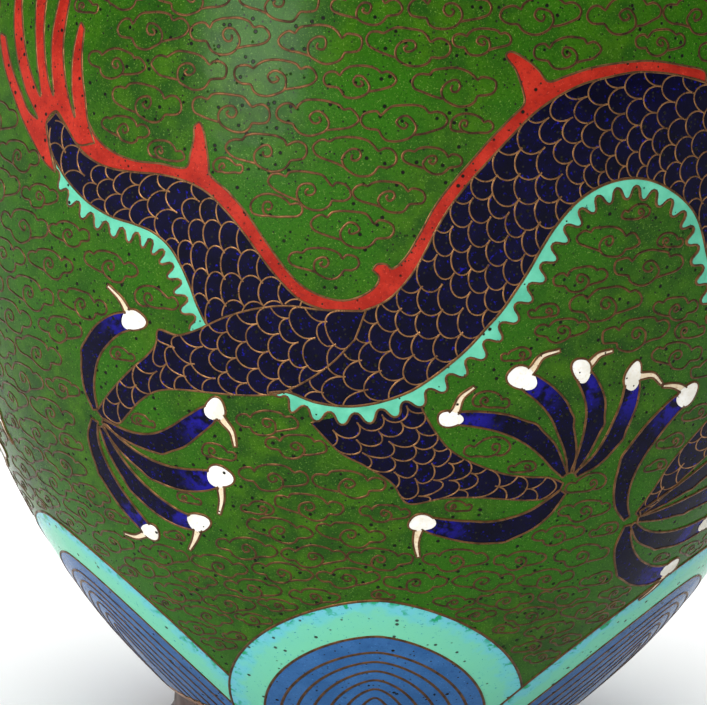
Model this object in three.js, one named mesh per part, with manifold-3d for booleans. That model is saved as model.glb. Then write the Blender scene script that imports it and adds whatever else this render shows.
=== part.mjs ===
// Cloisonne vase: a spun copper body in three shells with a soldered foot and a rolled lip,
// covered outside by cells of glass enamel and lined inside with plain enamel.
// Millimetres, +Z up, origin at the centre of the foot's underside, the front faces -Y.
import * as THREE from 'three';
import { mergeVertices } from 'three/addons/utils/BufferGeometryUtils.js';
import Module from 'manifold-3d';

const wasm = await Module();
wasm.setup();

// Driving dimensions.
const SIDES = 32;
const GAP = 0.3;
const ENAMEL = 1.2;
const COPPER = 0.9;
const LINING = 0.7;
const WIRE = 0.6;
const WIRE_PROUD = 0.15;

const FOOT_HEIGHT = 11;
const FOOT_RADIUS = 33.6;
const FOOT_WAIST = 32.2;
const FOOT_WALL = 2.6;
const FOOT_LEDGE = 2.2;
const BELLY_SEAM = 108;
const SHOULDER_LINE = 182;
const NECK_SEAM = 208;
const MOUTH_LINE = 283;
const MOUTH_TOP = 295.3;
const LIP_RADIUS = 2.2;
const LIP_SIDES = 8;

const LAPPET_COUNT = 6;
const LAPPET_TOPS = [39, 43, 41, 43, 40, 42.5];
const LAPPET_HALF_ANGLE = 36;
const LAPPET_BORDER = 6.5;
const LAPPET_FOOT = 10;
const LAPPET_STEPS = 7;
const WATER_HALF_ANGLE = 27.6;
const LAPPET_RADIUS = 50;
// An arch's half width is its foot's times (1 - rise ** ARCH_RISE) ** ARCH_ROUND.
const ARCH_RISE = 1.3;
const ARCH_ROUND = 0.6;

// The dragon's scaled body as [degrees, height]: its back from the tail to the neck, and its belly.
const DRAGON_BACK = [
  [-41.2, 107.1], [-37.6, 102.7], [-32.9, 100.4], [-24.1, 100], [-18.7, 96.1], [-12.6, 87.1],
  [-8, 83.6], [-2.9, 84], [0.6, 87.4], [4.1, 95.9], [9.4, 105.5], [16.2, 113.8], [25.1, 117.2],
  [34.4, 115.6], [42.5, 109.5], [53.5, 92.5], [66, 86.5], [80, 92.5], [94, 107.5], [111, 122.5],
  [134, 129], [156, 120.5], [174, 107], [184, 104.5], [194, 106.5], [213, 125.5],
];
const DRAGON_BELLY = [
  [-42.3, 103], [-38, 96.5], [-30, 93], [-25.6, 90.5], [-22.3, 82.4], [-16.5, 74.6],
  [-8.6, 70], [-2.4, 70.2], [4.4, 74.4], [10.1, 81.8], [14.3, 90], [17, 96.3], [22.2, 101.9],
  [25.9, 102.7], [31.5, 100.5], [37, 90], [44.5, 76.8], [60, 71.2], [78, 76], [94, 88.8],
  [112, 105], [132, 113.6], [150, 105.5], [169, 92], [181, 89.3], [206, 96], [222.5, 111.5],
];

// The outside of the enamel, as [radius, height], from the foot to the lip.
const OUTLINE = [
  [34.9, 11], [43.4, 20], [52.4, 32], [60.4, 46], [67.4, 64], [72.2, 86],
  [73.5, BELLY_SEAM], [71.6, 130], [64.5, 150], [52.0, 168], [37.6, 183], [26.6, 196],
  [20.9, NECK_SEAM], [18.8, 225], [18.9, 244], [22.4, 264], [29.0, 282], [36.2, MOUTH_TOP],
].map(([radius, height]) => new THREE.Vector2(radius, height));

const NORMALS = OUTLINE.map((point, i) => {
  const before = OUTLINE[Math.max(i - 1, 0)];
  const after = OUTLINE[Math.min(i + 1, OUTLINE.length - 1)];
  return new THREE.Vector2(after.y - before.y, before.x - after.x).normalize();
});

// Depths of the layers under the outside of the enamel.
const WALL_DEPTH = ENAMEL + GAP;
const WALL_INSIDE = WALL_DEPTH + COPPER;
const LINING_DEPTH = WALL_INSIDE + GAP;
const LINING_INSIDE = LINING_DEPTH + LINING;

// A point of the wall's section: the outline's own height picks the place, depth goes inwards.
function sectionPoint(height, depth) {
  let i = 0;
  while (i < OUTLINE.length - 2 && OUTLINE[i + 1].y < height) i += 1;
  const share = (height - OUTLINE[i].y) / (OUTLINE[i + 1].y - OUTLINE[i].y);
  const low = OUTLINE[i].clone().addScaledVector(NORMALS[i], -depth);
  const high = OUTLINE[i + 1].clone().addScaledVector(NORMALS[i + 1], -depth);
  return low.lerp(high, share);
}

// The section's points at one depth, from one height up to another.
function sectionLine(from, to, depth) {
  const between = OUTLINE.map((point) => point.y).filter((y) => y > from + GAP && y < to - GAP);
  return [from, ...between, to].map((height) => sectionPoint(height, depth));
}

function revolve(points) {
  const geometry = new THREE.LatheGeometry(points, SIDES);
  geometry.rotateX(Math.PI / 2);
  return geometry;
}

// A closed ring of wall between two heights and two depths.
function shell(from, to, outside, inside) {
  const outer = sectionLine(from, to, outside);
  const inner = sectionLine(from, to, inside).reverse();
  return revolve([...outer, ...inner, outer[0]]);
}

// A wall that starts as a flat floor on the axis and rises to a height.
function bowl(floor, thickness, to, outside, inside) {
  const outer = sectionLine(FOOT_HEIGHT, to, outside);
  const inner = sectionLine(FOOT_HEIGHT, to, inside).reverse();
  const knee = outer[0].x - thickness;
  const innerKnee = new THREE.Vector2(inner.at(-1).x - thickness, floor + thickness);
  return revolve([
    new THREE.Vector2(0, floor), new THREE.Vector2(knee, floor),
    ...outer, ...inner, innerKnee, new THREE.Vector2(0, floor + thickness),
  ]);
}

// A wire ring that lies on the copper and stands a little proud of the enamel.
function wireRing(height) {
  return shell(height - WIRE / 2, height + WIRE / 2, -WIRE_PROUD, ENAMEL);
}

function toSolid(geometry) {
  const bare = geometry.clone();
  bare.deleteAttribute('normal');
  bare.deleteAttribute('uv');
  const merged = mergeVertices(bare, 1e-4);
  return new wasm.Manifold(new wasm.Mesh({
    numProp: 3,
    vertProperties: new Float32Array(merged.attributes.position.array),
    triVerts: new Uint32Array(merged.index.array),
  }));
}

function toGeometry(solid) {
  const mesh = solid.getMesh();
  const geometry = new THREE.BufferGeometry();
  geometry.setAttribute('position', new THREE.BufferAttribute(mesh.vertProperties, mesh.numProp));
  geometry.setIndex(new THREE.BufferAttribute(mesh.triVerts, 1));
  geometry.computeVertexNormals();
  return geometry;
}

// A cutter that holds everything in front of an outline of [degrees, height] points. The angle
// runs from the front towards +X.
function radialCutter(outline) {
  const NEAR = 18;
  const FAR = 110;
  const flat = outline.map(([angle, height]) => new THREE.Vector2(angle, height));
  if (THREE.ShapeUtils.isClockWise(flat)) flat.reverse();
  const count = flat.length;
  const positions = [];
  for (const radius of [NEAR, FAR]) {
    for (const { x: angle, y: height } of flat) {
      const turn = THREE.MathUtils.degToRad(angle);
      positions.push(radius * Math.sin(turn), -radius * Math.cos(turn), height);
    }
  }
  const index = [];
  for (const [a, b, c] of THREE.ShapeUtils.triangulateShape(flat, [])) {
    index.push(c, b, a, a + count, b + count, c + count);
  }
  for (let i = 0; i < count; i += 1) {
    const next = (i + 1) % count;
    index.push(i, next, next + count, i, next + count, i + count);
  }
  const geometry = new THREE.BufferGeometry();
  geometry.setAttribute('position', new THREE.Float32BufferAttribute(positions, 3));
  geometry.setIndex(index);
  return toSolid(geometry);
}

// A round-topped arch standing on the foot: its half width shrinks towards the top.
function arch(centre, halfAngle, top) {
  const START = FOOT_HEIGHT - 2;
  const side = [];
  for (let i = 0; i < LAPPET_STEPS; i += 1) {
    const share = Math.sin((i / LAPPET_STEPS) * Math.PI / 2);
    const height = START + (top - START) * share;
    const rise = Math.max(height - LAPPET_FOOT, 0) / (top - LAPPET_FOOT);
    side.push([halfAngle * (1 - rise ** ARCH_RISE) ** ARCH_ROUND, height]);
  }
  const right = side.map(([angle, height]) => [centre + angle, height]);
  const left = side.map(([angle, height]) => [centre - angle, height]).reverse();
  return radialCutter([...right, [centre, top], ...left]);
}

// The arch of one lappet or of its water, grown all round by a clearance.
function lappetArch(i, halfAngle, inset, grow) {
  const widen = THREE.MathUtils.radToDeg(grow / LAPPET_RADIUS);
  const top = LAPPET_TOPS[i % LAPPET_COUNT] - inset + grow;
  return arch((i * 360) / LAPPET_COUNT, halfAngle + widen, top);
}

const borderArch = (i, grow) => lappetArch(i, LAPPET_HALF_ANGLE, 0, grow);
const waterArch = (i, grow) => lappetArch(i, WATER_HALF_ANGLE, LAPPET_BORDER, grow);

// The dragon's body, grown all round by a clearance.
function dragonCutter(grow) {
  const outline = [...DRAGON_BACK, ...DRAGON_BELLY.toReversed()];
  const arc = THREE.MathUtils.degToRad(OUTLINE[6].x);
  const moved = outline.map(([angle, height], i) => {
    const before = outline.at(i - 1);
    const after = outline[(i + 1) % outline.length];
    const side = new THREE.Vector2(before[1] - after[1], (after[0] - before[0]) * arc).normalize();
    return [angle + (side.x * grow) / arc, height + side.y * grow];
  });
  return radialCutter(moved);
}

const group = new THREE.Group();

const materials = {
  copper: new THREE.MeshStandardMaterial({ color: 0x8a4f34, roughness: 0.45, metalness: 1 }),
  gilt: new THREE.MeshStandardMaterial({ color: 0xc08a52, roughness: 0.3, metalness: 1 }),
  green: new THREE.MeshStandardMaterial({ color: 0x2f7a22, roughness: 0.15, metalness: 0 }),
  border: new THREE.MeshStandardMaterial({ color: 0x66c3ac, roughness: 0.15, metalness: 0 }),
  water: new THREE.MeshStandardMaterial({ color: 0x2f63a4, roughness: 0.15, metalness: 0 }),
  navy: new THREE.MeshStandardMaterial({ color: 0x15123c, roughness: 0.15, metalness: 0 }),
  lining: new THREE.MeshStandardMaterial({ color: 0x3f9fae, roughness: 0.25, metalness: 0 }),
};

function add(name, geometry, material) {
  const mesh = new THREE.Mesh(geometry, material);
  mesh.name = name;
  group.add(mesh);
}

// Copper: foot, two halves of the body, neck and lip. The foot's waist slopes as far as it is
// deep, and the top leans in to follow the belly.
function footRing() {
  const inside = FOOT_WAIST - FOOT_WALL;
  const top = FOOT_HEIGHT - GAP;
  const slope = FOOT_RADIUS - FOOT_WAIST;
  return revolve([
    [inside, 0], [FOOT_RADIUS - GAP, 0], [FOOT_RADIUS, GAP], [FOOT_RADIUS, FOOT_LEDGE],
    [FOOT_WAIST, FOOT_LEDGE + slope], [FOOT_WAIST, top - slope], [FOOT_RADIUS, top],
    [inside, top - GAP], [inside, 0],
  ].map(([radius, height]) => new THREE.Vector2(radius, height)));
}

const FLOOR = FOOT_HEIGHT + GAP;
add('foot_ring', footRing(), materials.copper);
add('lower_body_wall', bowl(FLOOR, COPPER, BELLY_SEAM - GAP / 2, WALL_DEPTH, WALL_INSIDE),
  materials.copper);
add('upper_body_wall', shell(BELLY_SEAM + GAP / 2, NECK_SEAM - GAP / 2, WALL_DEPTH, WALL_INSIDE),
  materials.copper);
add('neck_wall', shell(NECK_SEAM + GAP / 2, MOUTH_TOP, WALL_DEPTH, WALL_INSIDE),
  materials.copper);

// The lip is a solid bead that sits on the ends of the neck's layers.
function lipRing() {
  const end = sectionPoint(MOUTH_TOP, LINING_INSIDE / 2);
  const normal = NORMALS.at(-1);
  const centre = end.add(new THREE.Vector2(-normal.y, normal.x).multiplyScalar(LIP_RADIUS + GAP));
  const section = [];
  for (let i = 0; i <= LIP_SIDES; i += 1) {
    const turn = ((i + 0.5) / LIP_SIDES) * 2 * Math.PI;
    const spoke = new THREE.Vector2(Math.cos(turn), Math.sin(turn)).multiplyScalar(LIP_RADIUS);
    section.push(centre.clone().add(spoke));
  }
  return revolve(section);
}
add('mouth_rim', lipRing(), materials.gilt);

// Enamel inside the vase and under its floor.
const LINING_FLOOR = FLOOR + COPPER + GAP;
add('body_lining', bowl(LINING_FLOOR, LINING, NECK_SEAM - GAP / 2, LINING_DEPTH, LINING_INSIDE),
  materials.lining);
add('neck_lining', shell(NECK_SEAM + GAP / 2, MOUTH_TOP, LINING_DEPTH, LINING_INSIDE),
  materials.lining);

function baseEnamel() {
  const radius = FOOT_WAIST - FOOT_WALL - GAP;
  const top = FLOOR - GAP;
  return revolve([
    [0, top - ENAMEL], [radius, top - ENAMEL], [radius, top], [0, top],
  ].map(([x, y]) => new THREE.Vector2(x, y)));
}
add('base_enamel', baseEnamel(), materials.lining);

// Wire rings between the bands of enamel.
const RINGS = {
  foot_border_wire: FOOT_HEIGHT + WIRE / 2,
  shoulder_border_wire: SHOULDER_LINE,
  neck_border_wire: NECK_SEAM,
  mouth_border_wire: MOUTH_LINE,
};
for (const [name, height] of Object.entries(RINGS)) {
  add(name, wireRing(height), materials.gilt);
}

// Outer enamel: plain bands between the rings.
const CLEAR = WIRE / 2 + GAP;
const GROUND_FOOT = FOOT_HEIGHT + WIRE + GAP;
add('shoulder_band_enamel', shell(SHOULDER_LINE + CLEAR, NECK_SEAM - CLEAR, 0, ENAMEL),
  materials.border);
add('neck_enamel', shell(NECK_SEAM + CLEAR, MOUTH_LINE - CLEAR, 0, ENAMEL), materials.green);
add('mouth_band_enamel', shell(MOUTH_LINE + CLEAR, MOUTH_TOP, 0, ENAMEL), materials.border);

// The green ground, the dragon's body let into it, and the overlapping wave lappets that stand on
// the foot. Each lappet lies over the one on its left.
let ground = toSolid(shell(GROUND_FOOT, SHOULDER_LINE - CLEAR, 0, ENAMEL));
add('dragon_body', toGeometry(ground.intersect(dragonCutter(0))), materials.navy);
ground = ground.subtract(dragonCutter(GAP));
const lappetBand = toSolid(shell(GROUND_FOOT, OUTLINE[4].y, 0, ENAMEL));
for (let i = 0; i < LAPPET_COUNT; i += 1) {
  const neighbour = borderArch(i + 1, GAP);
  ground = ground.subtract(borderArch(i, GAP));
  const border = lappetBand.intersect(borderArch(i, 0)).subtract(waterArch(i, GAP));
  const water = lappetBand.intersect(waterArch(i, 0));
  add(`lappet_border_${i + 1}`, toGeometry(border.subtract(neighbour)), materials.border);
  add(`lappet_water_${i + 1}`, toGeometry(water.subtract(neighbour)), materials.water);
}
add('ground_enamel', toGeometry(ground), materials.green);

export default group;
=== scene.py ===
"""Cloisonne vase: enamel cells, copper wires, bands, rims and linings around the CAD frame.

Lengths are in millimetres until a mesh is written, and then in metres. The pattern is drawn on
the vase's surface, unrolled so that shapes keep their angles: a flat point is (angle, q), where
the angle is in radians from the front (-Y) towards +X, and q grows with height at the same rate.
One flat unit is as long as the vase's radius there. Control points are (degrees, height in mm).
"""
import math
import random

import bpy
import numpy as np
from mathutils import Matrix, Vector
from mathutils.geometry import delaunay_2d_cdt


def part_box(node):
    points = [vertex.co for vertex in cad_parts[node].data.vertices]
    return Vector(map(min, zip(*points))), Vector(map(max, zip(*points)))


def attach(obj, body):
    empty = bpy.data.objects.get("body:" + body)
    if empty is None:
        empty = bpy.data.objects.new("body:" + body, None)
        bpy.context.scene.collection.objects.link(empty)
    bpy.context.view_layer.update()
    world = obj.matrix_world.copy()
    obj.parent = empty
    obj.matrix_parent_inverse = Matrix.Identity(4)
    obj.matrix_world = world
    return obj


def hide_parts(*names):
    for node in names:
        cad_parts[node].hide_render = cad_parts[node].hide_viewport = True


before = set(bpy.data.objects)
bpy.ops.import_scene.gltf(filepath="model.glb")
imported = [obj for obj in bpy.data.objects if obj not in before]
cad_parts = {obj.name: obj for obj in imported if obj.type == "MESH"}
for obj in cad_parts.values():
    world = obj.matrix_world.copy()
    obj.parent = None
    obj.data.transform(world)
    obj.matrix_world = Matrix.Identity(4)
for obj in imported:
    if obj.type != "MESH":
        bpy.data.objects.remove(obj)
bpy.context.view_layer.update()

MM = 0.001
RNG = random.Random(12)

WIRE_WIDTH = 0.40
WIRE_PROUD = 0.07
WIRE_SINK = 0.12
# A wire's section: each corner's place across the width, its height, where None is the height
# of the wire's top, and the lean of its normal.
WIRE_SECTION = ((0.5, -WIRE_SINK, 0.9), (0.32, None, 0.45), (-0.32, None, -0.45),
                (-0.5, -WIRE_SINK, -0.9))
CELL_PROUD = 0.03
CELL_SINK = 0.15
LAYER = 0.035
CURVE_STEP = 0.45
CELL_STEP = 1.7
# The height of an even-sided triangle against its side.
TRIANGLE_HEIGHT = 0.866
PROFILE_STEP = 0.1
SECTION_STEP = 1.6
RING_SIDES = 256

LAPPETS = 6
SKIN = ["ground_enamel", "shoulder_band_enamel", "neck_enamel", "mouth_band_enamel",
        *[f"lappet_{part}_{i + 1}" for part in ("border", "water") for i in range(LAPPETS)]]


# ---------------------------------------------------------------- the vase's outline

def skin_rings():
    """(height, radius) of each ring of corners on the outside of the CAD's enamel skin."""
    skin_depth = 1.35
    ring_corners = 12
    rings = {}
    for node in SKIN:
        points = np.array([v.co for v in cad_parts[node].data.vertices]) / MM
        radii = np.hypot(points[:, 0], points[:, 1])
        turns = np.degrees(np.arctan2(points[:, 0], points[:, 1])).round()
        for height, radius, turn in zip(points[:, 2], radii, turns):
            rings.setdefault((round(float(height), 1), round(float(radius), 1)), set()).add(turn)
    whole = sorted(key for key, corners in rings.items() if len(corners) >= ring_corners)
    outer = [
        (h, r) for h, r in whole
        if not any(r2 > r and math.hypot(h2 - h, r2 - r) < skin_depth for h2, r2 in whole)
    ]
    return drop_straight(outer)


def drop_straight(points):
    """Leaves out the points that lie on a straight stretch between their neighbours."""
    slack = 0.1
    kept = [points[0]]
    for before, point, after in zip(points, points[1:], points[2:]):
        run = (after[0] - before[0], after[1] - before[1])
        aside = run[0] * (point[1] - before[1]) - run[1] * (point[0] - before[0])
        if abs(aside) / math.hypot(*run) > slack:
            kept.append(point)
    return np.array([*kept, points[-1]])


def natural_spline(xs, ys, at):
    """A natural cubic spline through (xs, ys), read at each place in at."""
    gaps = np.diff(xs)
    slopes = np.diff(ys) / gaps
    size = len(xs)
    matrix = np.eye(size)
    right = np.zeros(size)
    for i in range(1, size - 1):
        matrix[i, i - 1:i + 2] = gaps[i - 1], 2 * (gaps[i - 1] + gaps[i]), gaps[i]
        right[i] = 6 * (slopes[i] - slopes[i - 1])
    bend = np.linalg.solve(matrix, right)
    i = np.clip(np.searchsorted(xs, at) - 1, 0, size - 2)
    low, high = at - xs[i], xs[i + 1] - at
    cubic = (bend[i] * high ** 3 + bend[i + 1] * low ** 3) / (6 * gaps[i])
    linear = (ys[i] / gaps[i] - bend[i] * gaps[i] / 6) * high
    return cubic + linear + (ys[i + 1] / gaps[i] - bend[i + 1] * gaps[i] / 6) * low


RINGS = skin_rings()
HEIGHTS = np.arange(RINGS[0, 0] - 1, RINGS[-1, 0] + 1, PROFILE_STEP)
RADII = natural_spline(RINGS[:, 0], RINGS[:, 1], HEIGHTS)
SLOPES = np.gradient(RADII, HEIGHTS)
STRETCH = np.hypot(SLOPES, 1)
QS = np.concatenate([[0], np.cumsum((STRETCH / RADII)[1:] * np.diff(HEIGHTS))])


def radius_at(height):
    return np.interp(height, HEIGHTS, RADII)


def q_at(height):
    return np.interp(height, HEIGHTS, QS)


def height_at(q):
    return np.interp(q, QS, HEIGHTS)


def flat(points):
    """Flat points for control points in (degrees, height in mm)."""
    points = np.array(points, float)
    return np.column_stack([np.radians(points[:, 0]), q_at(points[:, 1])])


def local_radius(points):
    return radius_at(height_at(points[:, 1]))


def surface_normals(points):
    slope = np.interp(height_at(points[:, 1]), HEIGHTS, SLOPES)
    length = np.hypot(slope, 1)
    out, up = 1 / length, -slope / length
    turn = points[:, 0]
    return np.column_stack([out * np.sin(turn), -out * np.cos(turn), up])


def lift(points, proud):
    """Places in metres for flat points that stand proud of the enamel by so many mm."""
    height = height_at(points[:, 1])
    radius = radius_at(height)
    turn = points[:, 0]
    base = np.column_stack([radius * np.sin(turn), -radius * np.cos(turn), height])
    return (base + surface_normals(points) * np.reshape(proud, (-1, 1))) * MM


# ---------------------------------------------------------------- flat curves

def spline(points, closed=False):
    """A smooth curve through flat points, with a point about every CURVE_STEP mm."""
    points = np.asarray(points, float)
    if len(points) < 3 and not closed:
        return resample(points)
    if closed:
        padded = np.vstack([points[-1], points, points[0], points[1]])
    else:
        padded = np.vstack([2 * points[0] - points[1], points, 2 * points[-1] - points[-2]])
    knots = np.concatenate([[0], np.cumsum(np.linalg.norm(np.diff(padded, axis=0), axis=1) ** 0.5)])
    out = []
    for i in range(1, len(padded) - 2):
        p0, p1, p2, p3 = padded[i - 1:i + 3]
        t0, t1, t2, t3 = knots[i - 1:i + 3]
        length = np.linalg.norm(p2 - p1) * radius_at(height_at(p1[1]))
        steps = max(2, math.ceil(length / CURVE_STEP))
        t = np.linspace(t1, t2, steps, endpoint=False)[:, None]
        a1 = (t1 - t) / (t1 - t0) * p0 + (t - t0) / (t1 - t0) * p1
        a2 = (t2 - t) / (t2 - t1) * p1 + (t - t1) / (t2 - t1) * p2
        a3 = (t3 - t) / (t3 - t2) * p2 + (t - t2) / (t3 - t2) * p3
        b1 = (t2 - t) / (t2 - t0) * a1 + (t - t0) / (t2 - t0) * a2
        b2 = (t3 - t) / (t3 - t1) * a2 + (t - t1) / (t3 - t1) * a3
        out.append((t2 - t) / (t2 - t1) * b1 + (t - t1) / (t2 - t1) * b2)
    if not closed:
        out.append(points[-1:])
    return np.vstack(out)


def read(line, places, along=None):
    """Points of a polyline at places along it, counted in points unless a measure is given."""
    along = np.arange(len(line)) if along is None else along
    return np.column_stack([np.interp(places, along, line[:, k]) for k in (0, 1)])


def resample(points, step=CURVE_STEP):
    """The same polyline with evenly spaced points."""
    length = np.linalg.norm(np.diff(points, axis=0), axis=1)
    along = np.concatenate([[0], np.cumsum(length)])
    total = along[-1] * float(np.mean(local_radius(points)))
    places = np.linspace(0, along[-1], max(2, math.ceil(total / step)) + 1)
    return read(points, places, along)


def tangents(points, closed=False):
    if closed:
        steps = np.roll(points, -1, axis=0) - np.roll(points, 1, axis=0)
    else:
        steps = np.gradient(points, axis=0)
    return steps / np.maximum(np.linalg.norm(steps, axis=1), 1e-9)[:, None]


def shifted(points, distance, closed=False):
    """The curve moved to its left by a distance in mm, which can differ from point to point."""
    ahead = tangents(points, closed)
    left = np.column_stack([-ahead[:, 1], ahead[:, 0]])
    return points + left * (np.broadcast_to(distance, len(points)) / local_radius(points))[:, None]


def run_length(points):
    """Length in mm from the curve's start to each of its points."""
    steps = np.linalg.norm(np.diff(points, axis=0), axis=1) * local_radius(points)[1:]
    return np.concatenate([[0], np.cumsum(steps)])


def join(*runs):
    """One closed outline from smooth runs of control points that meet at corners."""
    return np.vstack([spline(flat(run))[:-1] if len(run) > 1 else flat(run) for run in
                      [[*run, runs[(i + 1) % len(runs)][0]] for i, run in enumerate(runs)]])


def inside(points, outline):
    """Which flat points lie within a closed outline."""
    result = np.zeros(len(points), bool)
    low, high = outline.min(axis=0), outline.max(axis=0)
    near = np.nonzero(((points >= low) & (points <= high)).all(axis=1))[0]
    if not len(near):
        return result
    x, y = points[near, 0], points[near, 1]
    ax, ay = outline[:, 0], outline[:, 1]
    bx, by = np.roll(ax, -1), np.roll(ay, -1)
    spans = (ay[None] > y[:, None]) != (by[None] > y[:, None])
    rise = np.where(by == ay, 1e-12, by - ay)
    cross = ax[None] + (y[:, None] - ay[None]) * ((bx - ax) / rise)[None]
    result[near] = ((x[:, None] < cross) & spans).sum(axis=1) % 2 == 1
    return result


def outside(points, shapes):
    """Which flat points lie within none of the closed outlines."""
    keep = np.ones(len(points), bool)
    for shape in shapes:
        keep &= ~inside(points, shape)
    return keep


def kept_runs(points, keep, closed=False, shortest=4):
    """The stretches of a polyline whose points are all kept."""
    if keep.all():
        return [(points, closed)]
    if closed:
        start = int(np.argmin(keep))
        points, keep = np.roll(points, -start, axis=0), np.roll(keep, -start)
    edges = np.flatnonzero(np.diff(np.concatenate([[0], keep.astype(int), [0]])))
    pairs = zip(edges[::2], edges[1::2])
    return [(points[a:b], False) for a, b in pairs if b - a >= shortest]


# ---------------------------------------------------------------- meshes

def write_mesh(name, vertices, quads=(), triangles=(), normals=None):
    """A mesh from arrays of vertices in metres and of faces."""
    quads = np.asarray(quads, np.int32).reshape(-1, 4)
    triangles = np.asarray(triangles, np.int32).reshape(-1, 3)
    corners = np.concatenate([quads.ravel(), triangles.ravel()])
    sizes = np.concatenate([np.full(len(quads), 4), np.full(len(triangles), 3)])
    starts = np.concatenate([[0], np.cumsum(sizes)[:-1]])
    mesh = bpy.data.meshes.new(name)
    mesh.vertices.add(len(vertices))
    mesh.vertices.foreach_set("co", np.asarray(vertices, np.float32).ravel())
    mesh.loops.add(len(corners))
    mesh.loops.foreach_set("vertex_index", corners.astype(np.int32))
    mesh.polygons.add(len(sizes))
    mesh.polygons.foreach_set("loop_start", starts.astype(np.int32))
    mesh.polygons.foreach_set("use_smooth", np.ones(len(sizes), bool))
    mesh.update(calc_edges=True)
    mesh.validate()
    if normals is not None:
        mesh.normals_split_custom_set_from_vertices(np.asarray(normals, np.float32))
    return mesh


def add_piece(name, mesh, material, replaces=()):
    piece = bpy.data.objects.new(name, mesh)
    bpy.context.scene.collection.objects.link(piece)
    mesh.materials.append(material)
    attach(piece, "root")
    if replaces:
        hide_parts(*replaces)
    return piece


class Heap:
    """Gathers closed bodies until they are written as one mesh."""

    def __init__(self):
        self.vertices, self.normals, self.quads, self.triangles = [], [], [], []
        self.tints = []
        self.count = 0

    def put(self, vertices, normals, quads, triangles=None, tint=None):
        self.quads.append(np.asarray(quads) + self.count)
        if triangles is not None:
            self.triangles.append(np.asarray(triangles) + self.count)
        self.vertices.append(vertices)
        self.normals.append(normals)
        self.tints.append(np.zeros(len(vertices)) if tint is None else tint)
        self.count += len(vertices)

    def piece(self, name, material, slot=None, replaces=()):
        triangles = np.vstack(self.triangles) if self.triangles else ()
        mesh = write_mesh(name, np.vstack(self.vertices), np.vstack(self.quads), triangles,
                          np.vstack(self.normals))
        tint = mesh.attributes.new("tint", "FLOAT", "POINT")
        tint.data.foreach_set("value", np.concatenate(self.tints).astype(np.float32))
        return add_piece(name, mesh, material, replaces)


def put_wire(heap, points, closed=False, width=WIRE_WIDTH, proud=WIRE_PROUD):
    """A flat-topped wire along a flat curve, sunk into the enamel on both sides."""
    if len(points) < 2:
        return
    count = len(points)
    up = surface_normals(points)
    vertices, normals = np.zeros((count, 4, 3)), np.zeros((count, 4, 3))
    aside = lift(shifted(points, width, closed), 0) - lift(points, 0)
    aside /= np.maximum(np.linalg.norm(aside, axis=1), 1e-12)[:, None]
    for k, (share, height, lean) in enumerate(WIRE_SECTION):
        vertices[:, k] = lift(shifted(points, share * width, closed),
                              proud if height is None else height)
        tilted = up * math.sqrt(1 - lean * lean) + aside * lean
        normals[:, k] = tilted / np.linalg.norm(tilted, axis=1)[:, None]
    index = np.arange(count * 4).reshape(count, 4)
    after = np.roll(index, -1, axis=0) if closed else index[1:]
    before = index if closed else index[:-1]
    quads = [np.column_stack([before[:, k], before[:, (k + 1) % 4], after[:, (k + 1) % 4],
                              after[:, k]]) for k in range(4)]
    if not closed:
        quads.append(index[:1, ::-1])
        quads.append(index[-1:])
    heap.put(vertices.reshape(-1, 3), normals.reshape(-1, 3), np.vstack(quads))


def put_cell(heap, outline, proud=CELL_PROUD, tint=None):
    """A thin closed body of enamel that fills a flat outline."""
    low, high = outline.min(axis=0), outline.max(axis=0)
    radius = float(np.mean(local_radius(outline)))
    step = CELL_STEP / radius
    xs = np.arange(low[0] + step / 2, high[0], step)
    ys = np.arange(low[1] + step / 2, high[1], step * TRIANGLE_HEIGHT)
    grid = np.array([(x + (j % 2) * step / 2, y) for j, y in enumerate(ys) for x in xs])
    grid = grid.reshape(-1, 2)
    grid = grid[inside(grid, outline)]
    clearance = 0.35 * step
    grid = grid[np.linalg.norm(grid[:, None] - outline[None], axis=2).min(axis=1) > clearance]
    corners = [Vector(point) for point in np.vstack([outline, grid]) * radius]
    keep_inside, smallest = 1, 1e-5
    made = delaunay_2d_cdt(corners, [], [list(range(len(outline)))], keep_inside, smallest)
    top = np.array([tuple(point) for point in made[0]]) / radius
    faces = np.array([face for face in made[2] if len(face) == 3])
    a, b, c = (top[faces[:, k]] for k in range(3))
    turned = (b - a)[:, 0] * (c - a)[:, 1] - (b - a)[:, 1] * (c - a)[:, 0] < 0
    faces[turned] = faces[turned][:, ::-1]
    edges = np.vstack([faces[:, [0, 1]], faces[:, [1, 2]], faces[:, [2, 0]]])
    known = {(int(i), int(j)) for i, j in edges}
    rim = np.array([(i, j) for i, j in known if (j, i) not in known])
    count = len(top)
    sides = np.column_stack([rim[:, 1], rim[:, 0], rim[:, 0] + count, rim[:, 1] + count])
    vertices = np.vstack([lift(top, proud), lift(top, -CELL_SINK)])
    up = surface_normals(top)
    tints = None if tint is None else np.tile(tint(top), 2)
    heap.put(vertices, np.vstack([up, -up]), sides, np.vstack([faces, faces[:, ::-1] + count]),
             tints)


def placed(points, centre, size=1.0, turn=0.0, flip=1):
    """Flat points for a motif in mm around its own middle, set at a (degrees, mm) centre."""
    middle = flat([centre])[0]
    radius = float(radius_at(centre[1]))
    points = np.asarray(points, float) * [flip * size, size]
    cos, sin = math.cos(turn), math.sin(turn)
    turned = points @ np.array([[cos, sin], [-sin, cos]])
    return middle + turned / radius


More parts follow.
